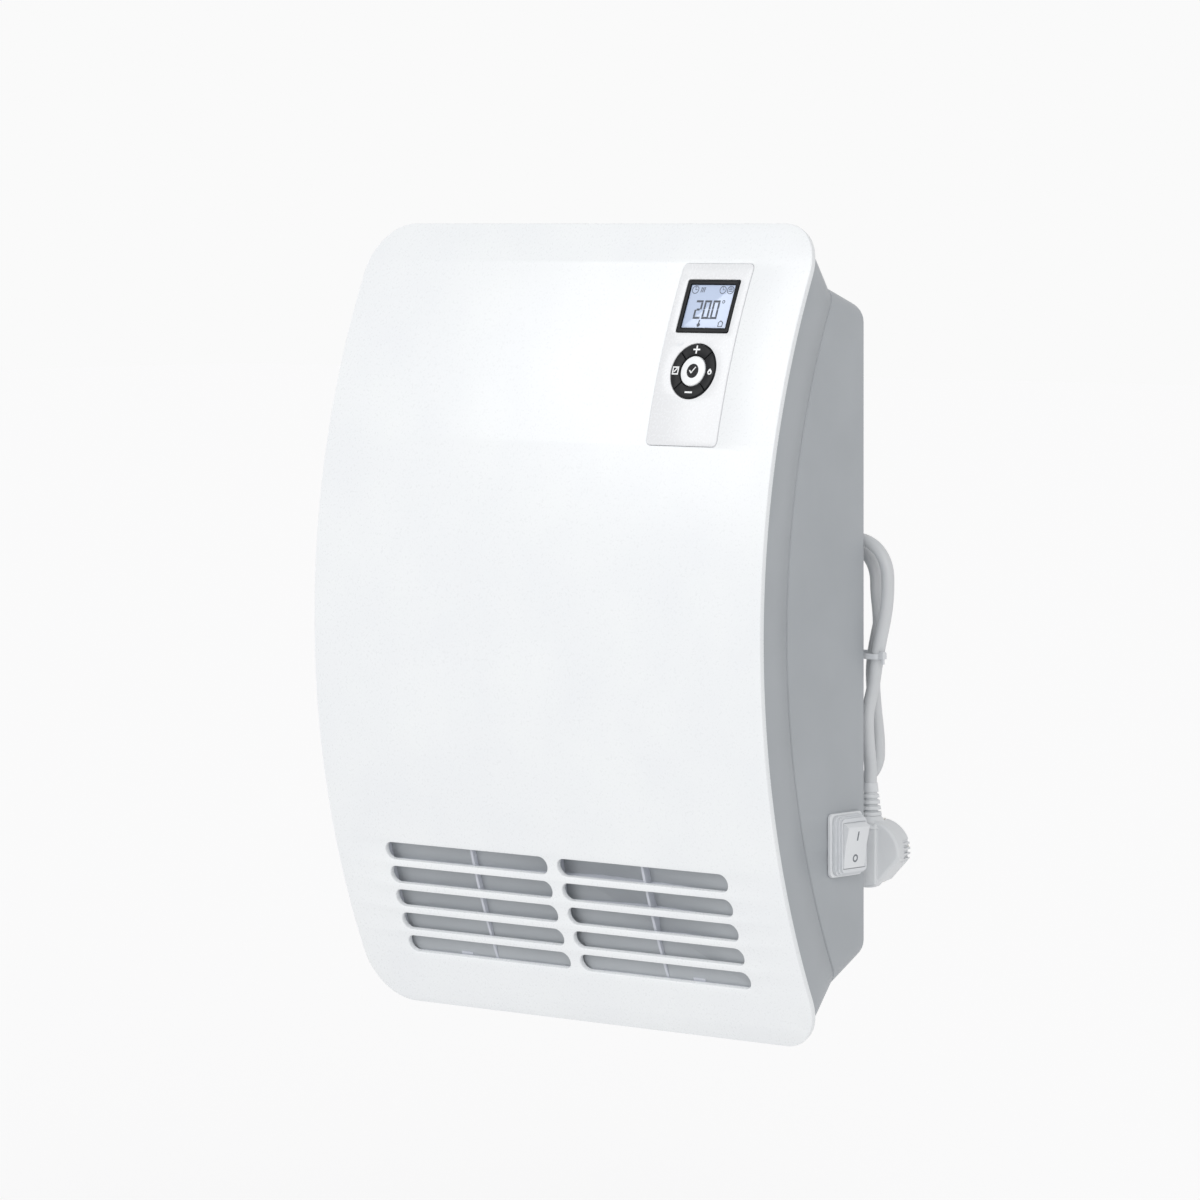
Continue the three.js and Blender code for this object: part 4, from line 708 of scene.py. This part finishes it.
for x in (-90, 90):
    tab = block("clip_tab", x - 4.5, x + 4.5, -4, 5, -0.5, 4.2)
    parts.append(place(tab, (0, bow_y(low, 4.0), low - HANG_Z), (BLADE_SLOPE, 0, 0)))
combine(grille, *parts, operation="UNION")
layer = block("layer", -GRILLE_HALF_W - 1, GRILLE_HALF_W + 1, 4.0, 28, -230, -110)
bend_to_bow(slice_across(layer, -230, -110, 4))
combine(grille, layer, operation="INTERSECT")
soften(grille, 0.3, 2, 30)
done(grille, "heater", grille_abs, "louvre", "outlet_louvre")

# ---- Control plate, display and keys --------------------------------------------------------------

DISPLAY_ARC = PLATE_HIGH - 26.4
DISPLAY_HALF = (19.2, 16.05)
DISPLAY_RIM = 2.6
KEYPAD_ARC = PLATE_HIGH - 65.7
KEYPAD_R = 16.25
OK_R = 9.0
KEY_T = 4.0
KEY_PROUD = 0.7


def display_block(name, grow, y0, y1, arc=0.0, x=0.0, corner=1.0):
    """A block with the display's outline."""
    made = block(name, x - DISPLAY_HALF[0] - grow, x + DISPLAY_HALF[0] + grow, y0, y1,
                 arc - DISPLAY_HALF[1] - grow, arc + DISPLAY_HALF[1] + grow)
    return round_edges(made, runs_back, corner, 4)


plate = plate_block("control_plate_skin", 0, -GAP, PLATE_T, 3)
combine(plate, display_block("display_hole", GAP, -9, 9, DISPLAY_ARC, PLATE_X, 1.2),
        rod("keypad_hole", KEYPAD_R + GAP, (PLATE_X, -9, KEYPAD_ARC), (PLATE_X, 9, KEYPAD_ARC), 96))
soften(plate, 0.5, 3)
slice_across(plate, PLATE_LOW, PLATE_HIGH, 4.5)
bend_to_bow(plate)
done(plate, "heater", white_plate, "plate", "control_plate")

bezel = display_block("display_frame", 0, -GAP, 5.0)
combine(bezel, display_block("display_opening", -DISPLAY_RIM, -9, 9, corner=0.5))
soften(bezel, 0.25, 2)
on_bow(bezel, DISPLAY_ARC, PLATE_X)
done(bezel, "heater", black_abs, "display", "display_bezel")

window = display_block("display_glass", -DISPLAY_RIM - GAP, 0.5, 2.4, corner=0.4)
soften(window, 0.12, 2)
on_bow(window, DISPLAY_ARC, PLATE_X)
done(window, "heater", lcd_glass, "lens", "display_window")

disc = rod("key_disc", KEYPAD_R, (0, KEY_T - KEY_PROUD, 0), (0, -KEY_PROUD, 0), 96)
round_edges(disc, lambda at, way: at.y < -KEY_PROUD + 0.01 and abs(way.y) < 0.5, 0.8, 4)
combine(disc, rod("ok_hole", OK_R + 0.5, (0, -9, 0), (0, 9, 0), 72))
for turn in (45, -45):
    combine(disc, place(block("split", -30, 30, -9, 9, -0.25, 0.25), turn=(0, turn, 0)))
soften(disc, 0.2, 2)
work_on(disc)
bpy.ops.object.mode_set(mode="EDIT")
bpy.ops.mesh.select_all(action="SELECT")
bpy.ops.mesh.separate(type="LOOSE")
bpy.ops.object.mode_set(mode="OBJECT")
for quarter in list(bpy.context.selected_objects):
    centre = sum((v.co for v in quarter.data.vertices), Vector()) / len(quarter.data.vertices) / MM
    side = {(1, 0): "heat", (0, 1): "plus", (-1, 0): "menu", (0, -1): "minus"}[
        round(centre.x / 12), round(centre.z / 12)]
    quarter.name = "key_" + side + "_cap"
    on_bow(quarter, KEYPAD_ARC, PLATE_X)
    done(quarter, "key_" + side, black_abs, "keys", "key_" + side)

ok_cap = rod("key_ok_cap", OK_R, (0, KEY_T - KEY_PROUD, 0), (0, -KEY_PROUD, 0), 72)
round_edges(ok_cap, lambda at, way: at.y < -KEY_PROUD + 0.01 and abs(way.y) < 0.5, 0.9, 4)
on_bow(ok_cap, KEYPAD_ARC, PLATE_X)
done(ok_cap, "key_ok", white_abs, "keys", "key_ok")

# ---- Marks on the display and the keys ------------------------------------------------------------


def bar(x0, x1, z0, z1, y=-0.08, turn=0.0):
    """A printed bar on a surface at y = 0, in the plane of the panel, turned about its own middle."""
    made = block("mark", -(x1 - x0) / 2, (x1 - x0) / 2, y, 0.05, -(z1 - z0) / 2, (z1 - z0) / 2)
    place(made, turn=(0, turn, 0))
    return place(made, ((x0 + x1) / 2, 0, (z0 + z1) / 2))


def hoop(x, z, radius, stroke):
    """A printed circle."""
    made = rod("mark", radius, (x, 0.05, z), (x, -0.08, z), 40)
    return combine(made, rod("inside", radius - stroke, (x, 1, z), (x, -1, z), 40))


def dot(x, z, radius):
    return rod("mark", radius, (x, 0.05, z), (x, -0.08, z), 24)


def drop(x, z, radius):
    """A flame: a circle with a corner pointing up."""
    corner = block("mark", 0, radius, -0.075, 0.05, 0, radius)
    place(corner, turn=(0, -45, 0))
    return [dot(x, z, radius), place(corner, (x, 0, z))]


def digit(x, z, width, height, stroke, lit):
    """A seven-segment digit about its middle. Lit names its segments, clockwise, then the middle one."""
    w, h, t, g = width / 2, height / 2, stroke, 0.12
    bars = {
        "a": (-w, w, h - t, h), "b": (w - t, w, g, h - t - g), "c": (w - t, w, -h + t + g, -g),
        "d": (-w, w, -h, -h + t), "e": (-w, -w + t, -h + t + g, -g), "f": (-w, -w + t, g, h - t - g),
        "g": (-w + t + g, w - t - g, -t / 2, t / 2)}
    return [bar(x + x0, x + x1, z + z0, z + z1) for x0, x1, z0, z1 in (bars[name] for name in lit)]


def printed(name, marks, front, arc, body, ink, slot):
    """Joins marks that were made on y = 0 and sets them on a flat face that stands at a depth on the bow."""
    made = gather(name, *marks)
    place(made, (0, front, 0))
    on_bow(made, arc, PLATE_X)
    return done(made, body, ink, slot)


DIGIT_Z = -2.0
DIGIT_W = 5.0
DIGIT_H = 11.4
DIGIT_STROKE = 1.25
readings = [dot(2.25, DIGIT_Z - 5.2, 0.5), hoop(10.3, 2.9, 1.0, 0.4)]
for x, lit in ((-7.2, "abged"), (-0.9, "abcdef"), (5.4, "abcdef")):
    readings += digit(x, DIGIT_Z, DIGIT_W, DIGIT_H, DIGIT_STROKE, lit)
clock = [hoop(-12.8, 10.2, 2.5, 0.4), bar(-13.0, -12.7, 10.2, 12.0), bar(-12.8, -11.4, 10.1, 10.4)]
timer = [hoop(7.6, 10.2, 2.4, 0.4), bar(7.45, 7.75, 10.2, 11.9), bar(7.6, 8.9, 10.1, 10.4)]
waves = [bar(-8.6 + 1.2 * i, -8.1 + 1.2 * i, 8.6, 11.8, turn=8) for i in range(3)]
program = [hoop(13.2, 10.2, 2.5, 0.4), *[bar(11.9, 14.5, 9.2 + i, 9.6 + i) for i in range(3)]]
flame = drop(-4.2, -11.4, 1.15) + [bar(-4.6, -3.8, -10.0, -8.4)]
house = [bar(10.2, 10.7, -12.3, -10.1), bar(13.1, 13.6, -12.3, -10.1), bar(10.2, 13.6, -12.4, -11.9, -0.07),
         bar(9.7, 12.1, -9.7, -9.2, -0.07, -38), bar(11.7, 14.1, -9.7, -9.2, -0.075, 38)]
printed("display_reading", readings + clock + timer + waves + program + flame + house, 0.5, DISPLAY_ARC,
        "heater", lcd_ink, "display")

RING_MID = 12.7
FACE = -KEY_PROUD
printed("plus_mark", [bar(-2.5, 2.5, RING_MID - 0.45, RING_MID + 0.45),
                      bar(-0.5, 0.5, RING_MID - 2.4, RING_MID + 2.4, -0.075)],
        FACE, KEYPAD_ARC, "key_plus", white_ink, "keys")
printed("minus_mark", [bar(-2.7, 2.7, -RING_MID - 0.5, -RING_MID + 0.5)],
        FACE, KEYPAD_ARC, "key_minus", white_ink, "keys")
page = [bar(-RING_MID - 2.3, -RING_MID + 2.3, z, z + 0.75) for z in (-2.4, 1.65)]
page += [bar(x, x + 0.8, -1.6, 1.6, -0.075) for x in (-RING_MID - 2.3, -RING_MID + 1.5)]
page += [bar(-RING_MID - 1.6, -RING_MID + 1.6, -0.1, 0.7, -0.07, -45)]
printed("menu_mark", page, FACE, KEYPAD_ARC, "key_menu", white_ink, "keys")
printed("heat_mark", drop(RING_MID, -0.5, 1.55), FACE, KEYPAD_ARC, "key_heat", white_ink, "keys")
printed("heat_mark_middle", [place(piece, (0, -0.05, 0)) for piece in drop(RING_MID, -0.7, 0.6)],
        FACE, KEYPAD_ARC, "key_heat", black_abs, "keys")
printed("confirm_disc", [dot(0, 0, 4.25)], FACE, KEYPAD_ARC, "key_ok", black_abs, "keys")
printed("confirm_tick", [bar(-1.95, -1.25, -1.5, 0.7, -0.14, -42), bar(0.1, 0.8, -1.9, 2.9, -0.145, 38)],
        FACE, KEYPAD_ARC, "key_ok", white_ink, "keys")

hint = [bar(-16.1, -13.3, 14.6, 15.6), bar(-15.2, -14.4, 15.6, 16.6, -0.06),
        bar(-13.0, -11.9, 14.8, 17.0, -0.07, 25)]
printed("sensor_hint", hint, 0, KEYPAD_ARC, "heater", faint_ink, "plate")

# ---- Mains switch ---------------------------------------------------------------------------------

PAD_X = SWITCH.x + 1.3
FLANGE_X = PAD_X + GAP
runs_sideways = lambda at, way: abs(way.x) > 0.9


def switch_block(name, x0, x1, width, height, corner):
    """A block about the switch's middle, rounded as seen from the side."""
    made = block(name, x0, x1, SWITCH.y - width / 2, SWITCH.y + width / 2,
                 SWITCH.z - height / 2, SWITCH.z + height / 2)
    return round_edges(made, runs_sideways, corner, 6)


flange = switch_block("switch_flange", FLANGE_X, FLANGE_X + 2.4, 29.5, 36.5, 3)
combine(flange, switch_block("sleeve", FLANGE_X - 9, FLANGE_X + 1, 23, 31, 1.5), operation="UNION")
combine(flange, switch_block("bore", FLANGE_X - 10, FLANGE_X + 3, 20.6, 28.6, 1))
soften(flange, 0.6, 3)
done(flange, "heater", white_nylon, "white_plastic", "switch_bezel")

BOOT_X = FLANGE_X + 2.4 + GAP
ROCKER_R = 14.0
PIVOT = (BOOT_X, SWITCH.y, SWITCH.z)
FOLD_STEP = 1.75
FOLD_T = 1.95
folds = []
for i in range(3):
    near = BOOT_X + FOLD_STEP * i
    fold = switch_block("fold", near, near + FOLD_T, 26.1 - 1.7 * i, 34.1 - 1.6 * i, 3.4 - 0.3 * i)
    combine(fold, place(rod("boot_hole", ROCKER_R + 0.3, (0, -10.1, 0), (0, 10.1, 0), 96), PIVOT))
    folds.append(soften(fold, 0.55, 3, 40))
boot = gather("switch_boot_skin", *folds)
done(boot, "heater", soft_white, "white_plastic", "switch_boot")

ROCKER_FACE = 7.6
ROCKER_TILT = 9.4
rocker = block("rocker_cap", -4, ROCKER_FACE, -9.7, 9.7, -15, 15)
slice_across(rocker, -15, 15, 15)
pick(rocker, lambda at, way: abs(at.z) < 0.1 and at.x > ROCKER_FACE - 0.1, "EDGE")
bpy.ops.transform.translate(value=(-0.8 * MM, 0, 0))
bpy.ops.object.mode_set(mode="OBJECT")
combine(rocker, rod("sweep", ROCKER_R, (0, -12, 0), (0, 12, 0), 96), operation="INTERSECT")
soften(rocker, 0.9, 4, 25)
place(rocker, PIVOT, (0, ROCKER_TILT, 0))
done(rocker, "rocker", white_nylon, "white_plastic", "switch_rocker")


def on_rocker(name, mark, height):
    """Sets a mark, made in x = 0, on the rocker's face."""
    place(mark, (ROCKER_FACE - 0.8 * (1 - abs(height) / 15), 0, height), (0, -3.1 if height < 0 else 3.1, 0))
    place(mark, PIVOT, (0, ROCKER_TILT, 0))
    return done(mark, "rocker", grey_ink, "white_plastic")


on_rocker("rocker_mark_on", block("rocker_mark_on", -0.1, 0.08, -0.55, 0.55, -2.7, 2.7), 6.6)
zero = rod("rocker_mark_off", 2.3, (-0.1, 0, 0), (0.08, 0, 0), 40)
combine(zero, rod("inside", 1.35, (-1, 0, 0), (1, 0, 0), 40))
on_rocker("rocker_mark_off", zero, -6.4)

# ---- Gland, tie and plug --------------------------------------------------------------------------


def cone(name, radius0, radius1, start, end, sides=48):
    """A cone primitive from one point to another."""
    clear_selection()
    a = Vector(start) * MM
    b = Vector(end) * MM
    turn = (b - a).to_track_quat("Z", "Y").to_euler()
    bpy.ops.mesh.primitive_cone_add(
        vertices=sides, radius1=radius0 * MM, radius2=radius1 * MM, depth=(b - a).length,
        location=(a + b) / 2, rotation=turn)
    return settle(name)


def ribbed(name, radius0, radius1, start, end, ribs, share):
    """A tapered sleeve with grooves round the given share of its length."""
    start, end = Vector(start), Vector(end)
    made = cone(name, radius0 - 2.2, radius1 - 0.4, start, end)
    for i in range(ribs):
        low = share * i / ribs
        high = share * (i + 0.62) / ribs
        rib = cone("rib", between(radius0, radius1, low), between(radius0, radius1, high),
                   start.lerp(end, low), start.lerp(end, high))
        combine(made, rib, operation="UNION")
    smooth_end = cone("end", between(radius0, radius1, share), radius1, start.lerp(end, share), end)
    combine(made, smooth_end, operation="UNION")
    return soften(made, 0.25, 2, 40)


root = SLEEVE_ROOT - Vector((0, 0, HANG_Z))
tip = SLEEVE_TIP - Vector((0, 0, HANG_Z))
gland = ribbed("cord_gland_boot", 7.0, 4.9, root, tip, 7, 0.94)
clear_selection()
bpy.ops.mesh.primitive_uv_sphere_add(segments=48, ring_count=24, radius=7.0 * MM, location=root * MM)
combine(gland, settle("elbow"),
        rod("neck", 6.4, (root.x, -8.4, root.z), (root.x, root.y, root.z)),
        soften(rod("collar", 10, (root.x, GAP, root.z), (root.x, 2.5, root.z)), 0.8, 3), operation="UNION")
done(gland, "heater", soft_grey, "white_plastic", "cord_gland")

tie_z = TIE_Z - HANG_Z
strands = [a.lerp(b, (tie_z - a.z) / (b.z - a.z)) for a, b in zip(lead_line, lead_line[1:])
           if min(a.z, b.z) <= tie_z < max(a.z, b.z)]


def round_the_strands(name, grow, half_height):
    """The tightest band round the lead's strands where they are tied, filled."""
    rise = Vector((0, 0, half_height))
    made = gather(name, *[rod("strand", CORD_R + grow, at - rise, at + rise, 32) for at in strands])
    bpy.ops.object.mode_set(mode="EDIT")
    bpy.ops.mesh.select_all(action="SELECT")
    bpy.ops.mesh.convex_hull()
    bpy.ops.object.mode_set(mode="OBJECT")
    return made


band = round_the_strands("cord_tie_band", 1.4, 1.6)
combine(band, round_the_strands("inside", 0.25, 3))
knot = max(strands, key=lambda at: at.x + 0.5 * at.y) + Vector((CORD_R + 1.6, -2.6, 0))
combine(band, block("knot", knot.x - 1.4, knot.x + 1.6, knot.y - 1.6, knot.y + 1.6, tie_z - 1.3, tie_z + 2.8),
        block("tail", knot.x - 0.2, knot.x + 1.1, knot.y - 0.8, knot.y + 0.8, tie_z - 4.4, tie_z),
        operation="UNION")
soften(band, 0.4, 3)
done(band, "heater", soft_white, "white_plastic", "cord_tie")

PLUG_R = 19.9
PLUG_BACK = -7.5
PLUG_FACE = PLUG_BACK + 26
PIN_X = 9.5
plug_at = (PLUG.x, PLUG.y, PLUG.z - HANG_Z)


def on_plug(piece):
    """Sets a piece, made about the lead's line with Y towards the pins, where the plug is."""
    return place(piece, plug_at, (0, 0, PLUG_TURN))


cap = rod("plug_cap", PLUG_R, (0, PLUG_BACK, 0), (0, PLUG_BACK + 9.6, 0), 96)
flats = [place(block("flat", 16.5, 30, -20, 30, -30, 30), turn=(0, turn, 0)) for turn in (42, 138)]
barrel = rod("barrel", PLUG_R - 1.5, (0, PLUG_BACK + 9, 0), (0, PLUG_FACE, 0), 96)
combine(cap, barrel, operation="UNION")
combine(cap, *flats)
pick(cap, lambda at, way: True)
bpy.ops.mesh.remove_doubles(threshold=0.4 * MM)
round_edges(cap, lambda at, way: at.y < PLUG_BACK + 0.01 and abs(way.y) < 0.1, 2.2, 6)
spine = block("spine", -6.2, 6.2, PLUG_BACK - 1.3, 0, -PLUG_R, PLUG_R)
round_edges(spine, lambda at, way: at.y < PLUG_BACK - 1.2 and abs(way.z) > 0.9, 1.25, 4)
combine(spine, rod("outline", PLUG_R - 1.6, (0, -20, 0), (0, 20, 0), 96), operation="INTERSECT")
neck = cone("neck", 10.5, 6.4, (0, -0.2, PLUG_R - 5.5), (0, 0, PLUG_R + 1.5))
combine(cap, spine, neck, operation="UNION")
grips = [block("grip", side * 19 - 2.3, side * 19 + 2.3, PLUG_BACK + 10.5, PLUG_FACE + 1, z - 0.9, z + 0.9)
         for side in (-1, 1) for z in (-6, -3, 0, 3, 6)]
clips_out = [block("clip_way", -4.3, 4.3, PLUG_BACK + 9, PLUG_FACE + 1, side * (PLUG_R - 0.2) - 2.5,
                   side * (PLUG_R - 0.2) + 2.5) for side in (-1, 1)]
sockets = [rod("pin_hole", 2.7, (side * PIN_X, PLUG_FACE - 6, 0), (side * PIN_X, PLUG_FACE + 1, 0), 32)
           for side in (-1, 1)]
combine(cap, gather("grips", *grips), *clips_out, *sockets)
soften(cap, 0.45, 3, 35)
done(on_plug(cap), "heater", soft_grey, "plug", "plug_body")
finish_with(cap, "WEIGHTED_NORMAL", keep_sharp=True)

sleeve = ribbed("plug_relief_sleeve", 6.6, 4.1, (0, 0, PLUG_R + 1.8), (0, 0, RELIEF_TOP - PLUG.z + 0.6),
                4, 0.72)
done(on_plug(sleeve), "heater", soft_grey, "plug", "plug_relief")

for i, side in enumerate((-1, 1)):
    pin = rod("plug_pin_" + str(i + 1) + "_rod", 2.4, (side * PIN_X, PLUG_FACE - 5.5, 0),
              (side * PIN_X, PLUG_FACE + 19, 0), 40)
    round_edges(pin, lambda at, way: at.y > PLUG_FACE + 18.9 and abs(way.y) < 0.1, 1.6, 5)
    done(on_plug(pin), "heater", nickel_brass, "pins", "plug_pin_" + str(i + 1))
    low, high = sorted((side * (PLUG_R - 2.4), side * (PLUG_R - 1.4)))
    clip = soften(block("earth_clip_" + str(i + 1), -4, 4, PLUG_BACK + 11, PLUG_FACE - 1, low, high), 0.25, 3)
    done(on_plug(clip), "heater", nickel_brass, "pins", "plug_earth_clip_" + str(i + 1))

# ---- Wall bracket and screws ----------------------------------------------------------------------

bracket = round_edges(block("wall_bracket_plate", -90, 90, -2, 0, -20, 20), runs_back, 6, 6)
for side in (-1, 1):
    slot = round_edges(block("slot", side * 34 - 7, side * 34 + 7, -4, 2, -2.6, 2.6), runs_back, 2.55, 6)
    arm = block("arm", side * 62 - 9, side * 62 + 9, -8.2, -1, -2, 0)
    lip = round_edges(block("lip", side * 62 - 9, side * 62 + 9, -8.2, -6.2, -2, 10),
                      lambda at, way: at.z > 9.9 and abs(way.z) < 0.1 and abs(way.y) > 0.9, 3, 5)
    combine(bracket, slot)
    combine(bracket, arm, lip, operation="UNION")
soften(bracket, 0.3, 2)
done(bracket, "heater", zinc_steel, "bracket_steel", "wall_bracket")

for i, post in enumerate(POSTS):
    screw = rod("housing_screw_" + str(i + 1) + "_head", 3.4, post + Vector((0, -2.1, 0)),
                post + Vector((0, -GAP, 0)), 40)
    soften(screw, 0.6, 4)
    for turn in (0, 90):
        cross = block("cross", -2.1, 2.1, -1.2, 1, -0.45, 0.45)
        place(cross, post + Vector((0, -GAP, 0)), (0, turn, 0))
        combine(screw, cross)
    shank = rod("shank", 1.8, post + Vector((0, -17, 0)), post + Vector((0, -1.9, 0)), 24)
    combine(screw, shank, operation="UNION")
    done(screw, "heater", zinc_steel, "steel", "housing_screw_" + str(i + 1))

# ---- Carried-over solids --------------------------------------------------------------------------

inner = {
    dark_abs: ["control_tray", "fan_scroll", "bearing_mount", "terminal_block", "switch_body"],
    fibreglass_board: ["control_board", "power_board"],
    zinc_steel: ["fan_shaft", "motor_mount"],
    steel_sheets: ["motor_stack"],
    mill_aluminium: ["fan_rotor", "heating_element_1", "heating_element_2", "motor_rotor",
                     "motor_bridge_outer", "motor_bridge_inner"],
    enamelled_copper: ["motor_coil"],
    sintered_bronze: ["end_bearing"],
    black_rubber: ["bearing_rubber", "key_mat"],
    mica_board: ["heater_frame"],
    steatite: ["thermal_cutout", "thermal_fuse"],
    black_abs: ["relay_1", "relay_2"],
    lcd_ground: ["lcd_module"],
    soft_white: ["room_sensor"],
    filter_foam: ["intake_filter"],
}
for name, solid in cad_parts.items():
    solid.data.materials.clear()
    solid.data.materials.append(grey_abs)
for material, names in inner.items():
    for name in names:
        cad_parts[name].data.materials[0] = material
